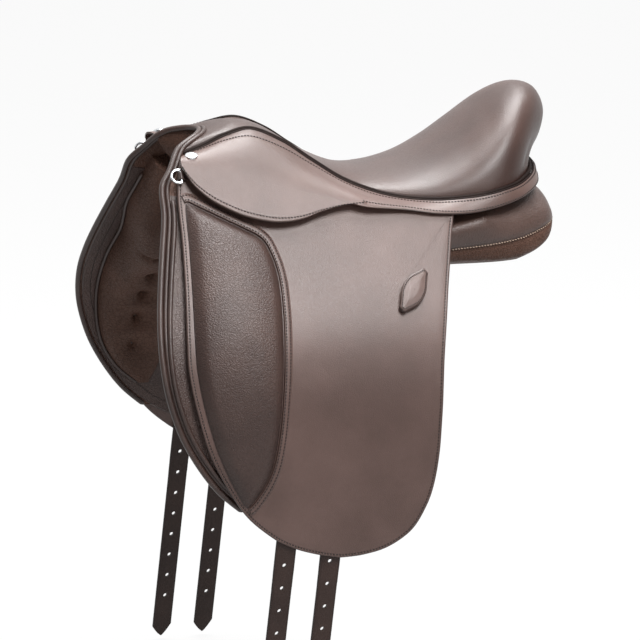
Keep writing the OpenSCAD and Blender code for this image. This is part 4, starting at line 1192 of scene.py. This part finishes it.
def make_strap(name, flip, which, x):
    along, wide, cut = strap_grid()
    top, low = strap_faces(x, along, wide)
    count = along.size
    solid = [f for f in grid(*along.shape)
             if not cut.ravel()[list(f)].any() and not over_hole(f, along, wide)]
    faces = solid + [tuple(v + count for v in f[::-1]) for f in solid]
    uses = {}
    for f in solid:
        for p, q in zip(f, f[1:] + f[:1]):
            uses.setdefault((min(p, q), max(p, q)), []).append((p, q))
    faces += [(q, p, p + count, q + count) for (p, q), *others in uses.values() if not others]
    wear_and_painted_shade = np.tile(np.exp(np.abs(ACROSS) - STRAP_HALF), 2 * len(along))
    points = np.concatenate([top.reshape(-1, 3), low.reshape(-1, 3)])
    strap = piece("girth_strap_%s_%s_piece" % (which, name), points, faces, STRAP, flip, wear_and_painted_shade)
    work = bmesh.new()
    work.from_mesh(strap.data)
    bmesh.ops.delete(work, geom=[v for v in work.verts if not v.link_faces], context="VERTS")
    work.to_mesh(strap.data)
    work.free()
    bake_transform(strap)
    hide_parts("girth_strap_%s_%s" % (which, name), "strap_root_%s_%s" % (which, name))


make_seat()
make_channel()
make_head_piping()
for name, flip in SIDES:
    make_welt(name, flip)
    make_stud(name, flip, *(["pommel_studs"] if flip > 0 else []))
    make_skirt(name, flip)
    make_flap(name, flip)
    make_knee_pad(name, flip)
    make_keeper(name, flip)
    make_sweat_flap(name, flip)
    make_front_facing(name, flip)
    make_panel(name, flip)
    make_panel_front(name, flip)
    for which, x in STRAP_X:
        make_strap(name, flip, which, x)

# Pieces that the CAD model shapes well enough, which only take a finish
CARRIED = {NICKEL: ("dee_ring_left", "dee_ring_right"),
           STEEL: ("stirrup_bar_left", "stirrup_bar_right", "bar_rivets", "bar_catch_left", "bar_catch_right",
                   "head_plate"),
           PIPING: ("dee_chape_left", "dee_chape_right"),
           WOOD: ("saddle_tree",),
           WEB: ("seat_webs", "girth_web_front", "girth_web_rear")}
for finish, nodes in CARRIED.items():
    for node in nodes:
        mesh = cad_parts[node].data
        mesh.materials.clear()
        mesh.materials.append(finish)


# Studio, in metres: pale floor, soft lamps and the camera

FLOOR_HALF, FLOOR_Z = 12, -0.615
WHITE = (1, 1, 1, 1)
# Each lamp's place, size and power
LAMPS = (("key", (-0.3, 1.5, 2.0), 1.1, 84), ("top", (-0.2, -0.6, 2.1), 1.5, 104),
         ("near_fill", (-1.4, 3.2, 0.8), 1.4, 24), ("front_fill", (1.6, 3.4, 0.4), 1.5, 22))
LAMP_AIM = (0, 0, -0.1)
CAMERA_AT, CAMERA_AIM = (1.3049, 4.0971, 1.0159), (0.0623, 0.0328, -0.1229)
SENSOR, LENS = 36, 203


# Reflections show the white sweep on the far side and overhead, and a dim room on the near side

def make_floor():
    h = FLOOR_HALF
    mesh = bpy.data.meshes.new("floor")
    mesh.from_pydata([(x, y, FLOOR_Z) for x, y in ((-h, -h), (h, -h), (h, h), (-h, h))], [], [(0, 1, 2, 3)])
    floor = bpy.data.objects.new("floor", mesh)
    bpy.context.scene.collection.objects.link(floor)
    pale = Finish("pale_floor")
    near = pale.node("SeparateXYZ", None, {0: pale.place}, output="Y")
    mirrored = pale.node("LightPath", output="Is Glossy Ray") * (1 - near.between(-0.2, 0.9) * 0.9)
    seen = mirrored | pale.node("LightPath", output="Is Camera Ray")
    seen = seen | pale.node("LightPath", output="Is Transmission Ray")
    pale.surface(base_color=pale.blend(seen, (0.3, 0.3, 0.3, 1), (0.9, 0.9, 0.9, 1)), roughness=0.9)
    glow = pale.node("Emission", None, {"Color": WHITE, "Strength": 1.0})
    shown = pale.node("MixShader", None, {0: seen * 0.94, 1: Field(pale, pale.shader.outputs[0]), 2: glow})
    pale.fill(pale.tree.nodes["Material Output"].inputs["Surface"], shown)
    mesh.materials.append(pale.material)


def make_world():
    world = bpy.data.worlds.new("studio")
    bpy.context.scene.world = world
    world.use_nodes = True
    sky = Wiring(world.node_tree)
    way = sky.node("SeparateXYZ", None, {0: sky.node("TexCoord", output="Generated")}, output="Y")
    sweep = sky.node("MapRange", None,
                     {"Value": way, "From Min": -0.3, "From Max": 0.5, "To Min": 1.0, "To Max": 0.1})
    seen = sky.node("LightPath", output="Is Camera Ray")
    seen = seen | sky.node("LightPath", output="Is Transmission Ray")
    seen = seen | sky.node("LightPath", output="Is Glossy Ray") * sweep
    level = sky.node("MapRange", None, {"Value": seen, "To Min": 0.07, "To Max": 1.0})
    ground = sky.tree.nodes["Background"]
    sky.fill(ground.inputs["Color"], WHITE)
    sky.fill(ground.inputs["Strength"], level)


def aimed(name, data, at, aim):
    """A lamp or camera at a place, turned toward another."""
    holder = bpy.data.objects.new(name, data)
    bpy.context.scene.collection.objects.link(holder)
    holder.location = at
    holder.rotation_mode = "QUATERNION"
    holder.rotation_quaternion = (Vector(aim) - Vector(at)).to_track_quat("-Z", "Y")
    return holder


def make_studio():
    bpy.context.scene.view_settings.view_transform = "Standard"
    make_floor()
    make_world()
    for name, at, size, power in LAMPS:
        light = bpy.data.lights.new(name, "AREA")
        light.energy, light.size = power, size
        aimed(name, light, at, LAMP_AIM)
    lens = bpy.data.cameras.new("camera")
    lens.sensor_width, lens.lens = SENSOR, LENS
    bpy.context.scene.camera = aimed("camera", lens, CAMERA_AT, CAMERA_AIM)


make_studio()
